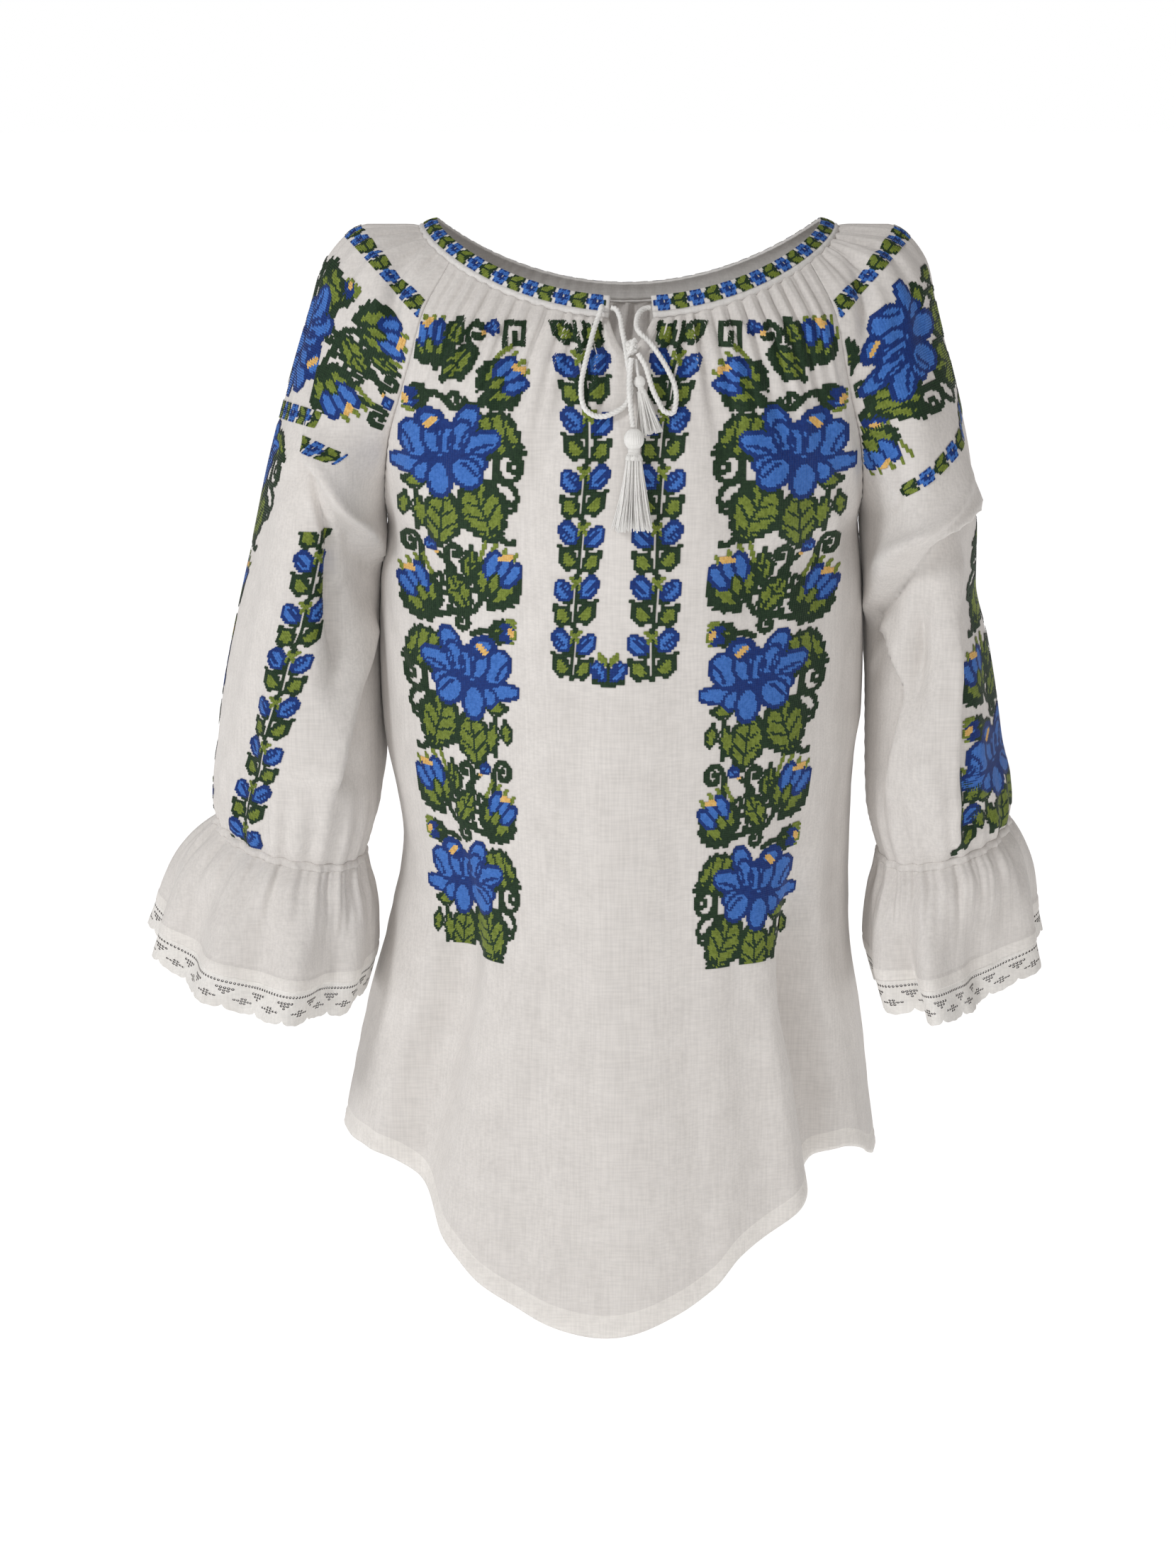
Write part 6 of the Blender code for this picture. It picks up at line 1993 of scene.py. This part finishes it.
def round_sleeve(side, run, down):
    """Where round a sleeve a place is that lies so far from its outer line."""
    cloth = sleeve_cloths[side]
    middle = len(cloth.across) // 2
    around = cloth.run_across - cloth.run_across[:, middle : middle + 1]
    across = np.zeros_like(down)
    for i in range(len(down)):
        row = np.interp(down[i].mean(), cloth.down, np.arange(len(cloth.down)))
        k = min(int(row), len(cloth.down) - 2)
        line = around[k] + (around[k + 1] - around[k]) * (row - k)
        across[i] = np.interp(run[i], line, cloth.across)
    return across


def down_sleeve(side, start, pitch, rows):
    """Steps of even length down the middle of a sleeve's front."""
    cloth = sleeve_cloths[side]
    column = len(cloth.across) // 4
    run = cloth.run_down[:, column]
    first = np.interp(start, cloth.down, run)
    return np.interp(first + pitch * np.arange(rows + 1), run, cloth.down)


def on_sleeve(name, side, chart, start, run_from, pitch=SLEEVE_STITCH, drift=None, shown=None, lean=None):
    """Lays a chart on a sleeve. run_from is how far from the outer line its first column is.

    drift moves the columns round the sleeve on their way down, and lean slants the rows.
    """
    rows, columns = chart.shape
    down = down_sleeve(side, start, pitch[1], rows)
    grid_down = np.repeat(down[:, None], columns + 1, axis=1)
    run = run_from + pitch[0] * np.arange(columns + 1)[None, :] + 0 * grid_down
    if drift is not None:
        run = run + spline(drift, "run", grid_down)
    across = round_sleeve(side, run, grid_down)
    if lean is not None:
        grid_down = grid_down + lean * (0.5 - np.abs(across))
    cloth = sleeve_cloths[side]
    corners = cloth.at(across, grid_down)
    normals = unit(cloth.read(cloth.normals, across, grid_down))
    edge = EDGE_CLEAR if start < 0.9 else 2.0  # what starts below the armpit may go all round
    clear = np.abs(across[:-1, :-1]) < edge
    clear &= np.abs(across[:-1, 1:]) < edge
    clear &= (np.diff(across[:-1], axis=1) > 1e-5) & (grid_down[1:, 1:] < 1.985)
    if shown is not None:
        clear &= shown(run[:-1, :-1], grid_down[:-1, :-1])
    node = "sleeve_right" if side > 0 else "sleeve_left"
    stitches(name, node, chart, corners, normals, CLOTH_WALL, clear)


def strip(blocks, offset, rows):
    """Blocks one below another. The first starts at offset, which may be above the strip."""
    chart = np.zeros((rows + 120, FIELD), int)
    start = offset + 60
    for block, mirror in blocks:
        lay(chart, block, start, mirror)
        start += (ROSE_ROWS if len(block) > GROUP_ROWS + 12 else GROUP_ROWS) - 2
    return chart[60 : 60 + rows]


print("a stitch on the sleeves:", SLEEVE_STITCH)


# %% Stitches that a fold hides
def clear_of_the_lap(run, down):
    """The right sleeve's front laps over its stitches along a slanting line."""
    return run > np.interp(down, (0.58, 0.80), (-0.130, -0.098))


def outside_the_pleat(run, down):
    """The left sleeve's pleat breaks the band. Its inner piece sits lower, and its end is hidden."""
    return run > -0.074


def inside_the_pleat(run, down):
    return (run < -0.068) & (run > -0.102)


print("stitches show past the lap:", bool(clear_of_the_lap(-0.09, 0.7)))

# %% The left sleeve's field and bands
BAND_STITCH = (0.00115, 0.00115)
shoulder_band, arm_band = rosette_band(columns=200), rosette_band(columns=230)
field_blocks = [(group_block(), False), (rose_block(), False)] * 2
# The field lies on its side. Its first group starts before the field does, and is cut short.
field = strip(field_blocks, 36 - GROUP_ROWS, rows=145).T[::-1]
on_sleeve("shoulder_field_left", -1, field, 0.275, -0.113, lean=0.06)
on_sleeve("shoulder_band_left", -1, shoulder_band, 0.165, -0.115, BAND_STITCH, lean=0.06)
on_sleeve("arm_band_left", -1, arm_band, 0.622, -0.130, BAND_STITCH, shown=outside_the_pleat, lean=0.10)
on_sleeve("arm_band_left_end", -1, arm_band, 0.690, -0.130, BAND_STITCH, shown=inside_the_pleat)

# %% The right sleeve's field and bands
WIDE_STITCH = (0.00186, 0.001424)
shown = clear_of_the_lap
field = strip(field_blocks, 11 - GROUP_ROWS, rows=145).T
on_sleeve("shoulder_field_right", 1, field, 0.280, -0.125, WIDE_STITCH, shown=shown, lean=0.08)
last_bud = np.zeros((34, 34), int)
bud(last_bud, 17, 15, 24, 82)
on_sleeve("shoulder_bud_right", 1, last_bud, 0.565, -0.138)
on_sleeve("shoulder_band_right", 1, shoulder_band, 0.165, -0.115, BAND_STITCH, lean=0.06)
on_sleeve("arm_band_right", 1, arm_band, 0.742, -0.130, BAND_STITCH, shown=shown, lean=-0.21)

# %% How the columns wander
Drift = namedtuple("Drift", "down run")  # how far round the sleeve a column moves on its way down
ARM_DRIFT = {
    -1: table(
        Drift,
        (0.71, -0.012),
        (0.90, -0.006),
        (1.05, 0.008),
        (1.20, 0.024),
        (2.00, 0.032),
    ),
    1: table(
        Drift,
        (0.85, 0.028),
        (1.10, 0.015),
        (1.30, -0.012),
        (1.50, -0.028),
        (1.75, -0.033),
        (2.00, -0.024),
    ),
}
VINE_DRIFT = {
    -1: table(
        Drift,
        (0.85, -0.088),
        (1.24, -0.090),
        (1.36, -0.084),
        (1.53, -0.078),
        (1.65, -0.071),
        (1.78, -0.063),
        (2.00, -0.056),
    ),
    1: table(Drift, (0.85, -0.070), (1.5, -0.070), (1.75, -0.072), (2.0, -0.080)),
}
PLEAT_EDGE = table(
    Drift,
    (0.80, -0.036),
    (1.00, -0.048),
    (1.20, -0.062),
    (1.50, -0.071),
    (1.75, -0.078),
    (2.00, -0.082),
)


def past_the_pleat(run, down):
    """The right sleeve's long pleat covers what lies further round than its edge."""
    return run > spline(PLEAT_EDGE, "run", down)


def past_the_pleat_low(run, down):
    return past_the_pleat(run, down) & (down > 1.70)


def below_the_lap(run, down):
    """The left vine comes out from under the lap."""
    return down > 0.97


print("rows in the drifts:", len(ARM_DRIFT[-1]) + len(ARM_DRIFT[1]))

# %% The columns down the arms
arm_blocks = [(rose_block(), True), (group_block(), True), (rose_block(), False), (group_block(), False)]
arm_chart = strip(arm_blocks, 0, rows=220)
on_sleeve("arm_border_left", -1, arm_chart, 0.71, -0.042, drift=ARM_DRIFT[-1])
ARM_VINE_STITCH = (0.00155, 0.00155)
arm_vine = vine(rows=202)
vine_place = (0.86, -0.5 * VINE * ARM_VINE_STITCH[0], ARM_VINE_STITCH)
on_sleeve("arm_vine_left", -1, arm_vine, *vine_place, VINE_DRIFT[-1], below_the_lap)
arm_chart = strip(arm_blocks, 17, rows=220)
on_sleeve("arm_border_right", 1, arm_chart, 0.86, -0.042, drift=ARM_DRIFT[1], shown=past_the_pleat)
on_sleeve("arm_vine_right", 1, arm_vine, *vine_place, VINE_DRIFT[1], past_the_pleat_low)

# %% The band's rosettes
band_run = band_cloth.run_across[len(band_up) // 2]
columns = int(band_run[-1] / BAND_STITCH[0]) - 2
chart = rosette_band(columns)
across = np.interp(0.001 + BAND_STITCH[0] * np.arange(columns + 1), band_run, band_phi)
up = np.linspace(0.98, PIPING_SHARE + 0.06, BAND_ROWS + 1)
grid_across, grid_rise = np.meshgrid(across, up)
corners = band_cloth.at(grid_across, grid_rise)
normals = unit(band_cloth.read(band_cloth.normals, grid_across, grid_rise))
stitches("neckband_rosettes", "neckband", chart, corners, normals, BAND_WALL)

# %% [markdown]
# ## What each piece stands for
#
# A part's solids stay in the scene, hidden, so that the dressed pieces show. The list pairs each
# dressed piece with the solid that it replaces, a finish name, how it is held and what it rests on,
# but only the solids' names are used here.

# %% The pieces and their solids
CUTS = [
    (front, front_cloth, "front", "cotton_voile", "gathered", ("neckband",)),
    (back, back_cloth, "back", "cotton_voile", "gathered", ("neckband",)),
    (sleeves[-1], sleeve_cloths[-1], "sleeve_left", "cotton_voile", "gathered", ("neckband",)),
    (sleeves[1], sleeve_cloths[1], "sleeve_right", "cotton_voile", "gathered", ("neckband",)),
    (flounces[-1], flounce_cloths[-1], "flounce_left", "cotton_voile", "gathered", ("sleeve_left",)),
    (flounces[1], flounce_cloths[1], "flounce_right", "cotton_voile", "gathered", ("sleeve_right",)),
    (lace_bands[-1], lace_cloths[-1], "lace_left", "cotton_lace", "hung", ("flounce_left",)),
    (lace_bands[1], lace_cloths[1], "lace_right", "cotton_lace", "hung", ("flounce_right",)),
    (band, band_cloth, "neckband", "neckband_cotton", "stretched", ("front", "back")),
]


for piece, cloth, node, finish_name, held, rests_on in CUTS:
    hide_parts(node)

# %% [markdown]
# ## The room
#
# A pale floor and soft light, as in a catalogue studio. A lamp high on the left gives the folds their
# shadows, a broad weak one near the camera softens them, and the pale world fills them. The camera
# itself sees plain white behind the blouse.

# %% Floor and world
FLOOR_Z = -1.05
bpy.ops.mesh.primitive_plane_add(size=30, location=(0, 10.0, FLOOR_Z))
floor = bpy.context.object
floor.name = "studio_floor"
floor_paint, floor_shader, _, _ = finish("studio_floor", (0.80, 0.80, 0.80), 0.9)
floor_shader.inputs["Emission Color"].default_value = (1, 1, 1, 1)
floor_shader.inputs["Emission Strength"].default_value = 0.80
floor.data.materials.append(floor_paint)

world = bpy.data.worlds.new("studio")
world.use_nodes = True
sky = world.node_tree
glow = sky.nodes["Background"]
glow.inputs["Color"].default_value = (1.0, 0.955, 0.92, 1)
glow.inputs["Strength"].default_value = 0.30
backdrop = sky.nodes.new("ShaderNodeBackground")  # what the eye sees behind the blouse
backdrop.inputs["Color"].default_value = (1, 1, 1, 1)
backdrop.inputs["Strength"].default_value = 1.0
seen, both = sky.nodes.new("ShaderNodeLightPath"), sky.nodes.new("ShaderNodeMixShader")
sky.links.new(seen.outputs["Is Camera Ray"], both.inputs["Fac"])
sky.links.new(glow.outputs["Background"], both.inputs[1])
sky.links.new(backdrop.outputs["Background"], both.inputs[2])
sky.links.new(both.outputs["Shader"], sky.nodes["World Output"].inputs["Surface"])
bpy.context.scene.world = world
print("floor at", FLOOR_Z)


# %% The lamps
def lamp(name, place, target, size, power, colour=(1, 1, 1)):
    data = bpy.data.lights.new(name, "AREA")
    data.shape, data.size, data.energy, data.color = "DISK", size, power, colour
    made = bpy.data.objects.new(name, data)
    made.location = place
    away = np.array(place, float) - np.array(target, float)
    level = math.hypot(away[0], away[1])
    made.rotation_euler = (math.atan2(level, away[2]), 0, math.atan2(away[1], away[0]) + math.pi / 2)
    bpy.context.scene.collection.objects.link(made)


lamp("key", (-1.7, -1.6, 1.5), (0, 0, -0.3), 0.7, 33, (0.98, 0.99, 1.0))
lamp("front", (0.1, -2.6, 0.9), (0, 0, -0.3), 1.2, 8, (1.0, 0.99, 0.97))
bpy.context.scene.view_settings.view_transform = "Standard"
print("lamps:", len(bpy.data.lights))
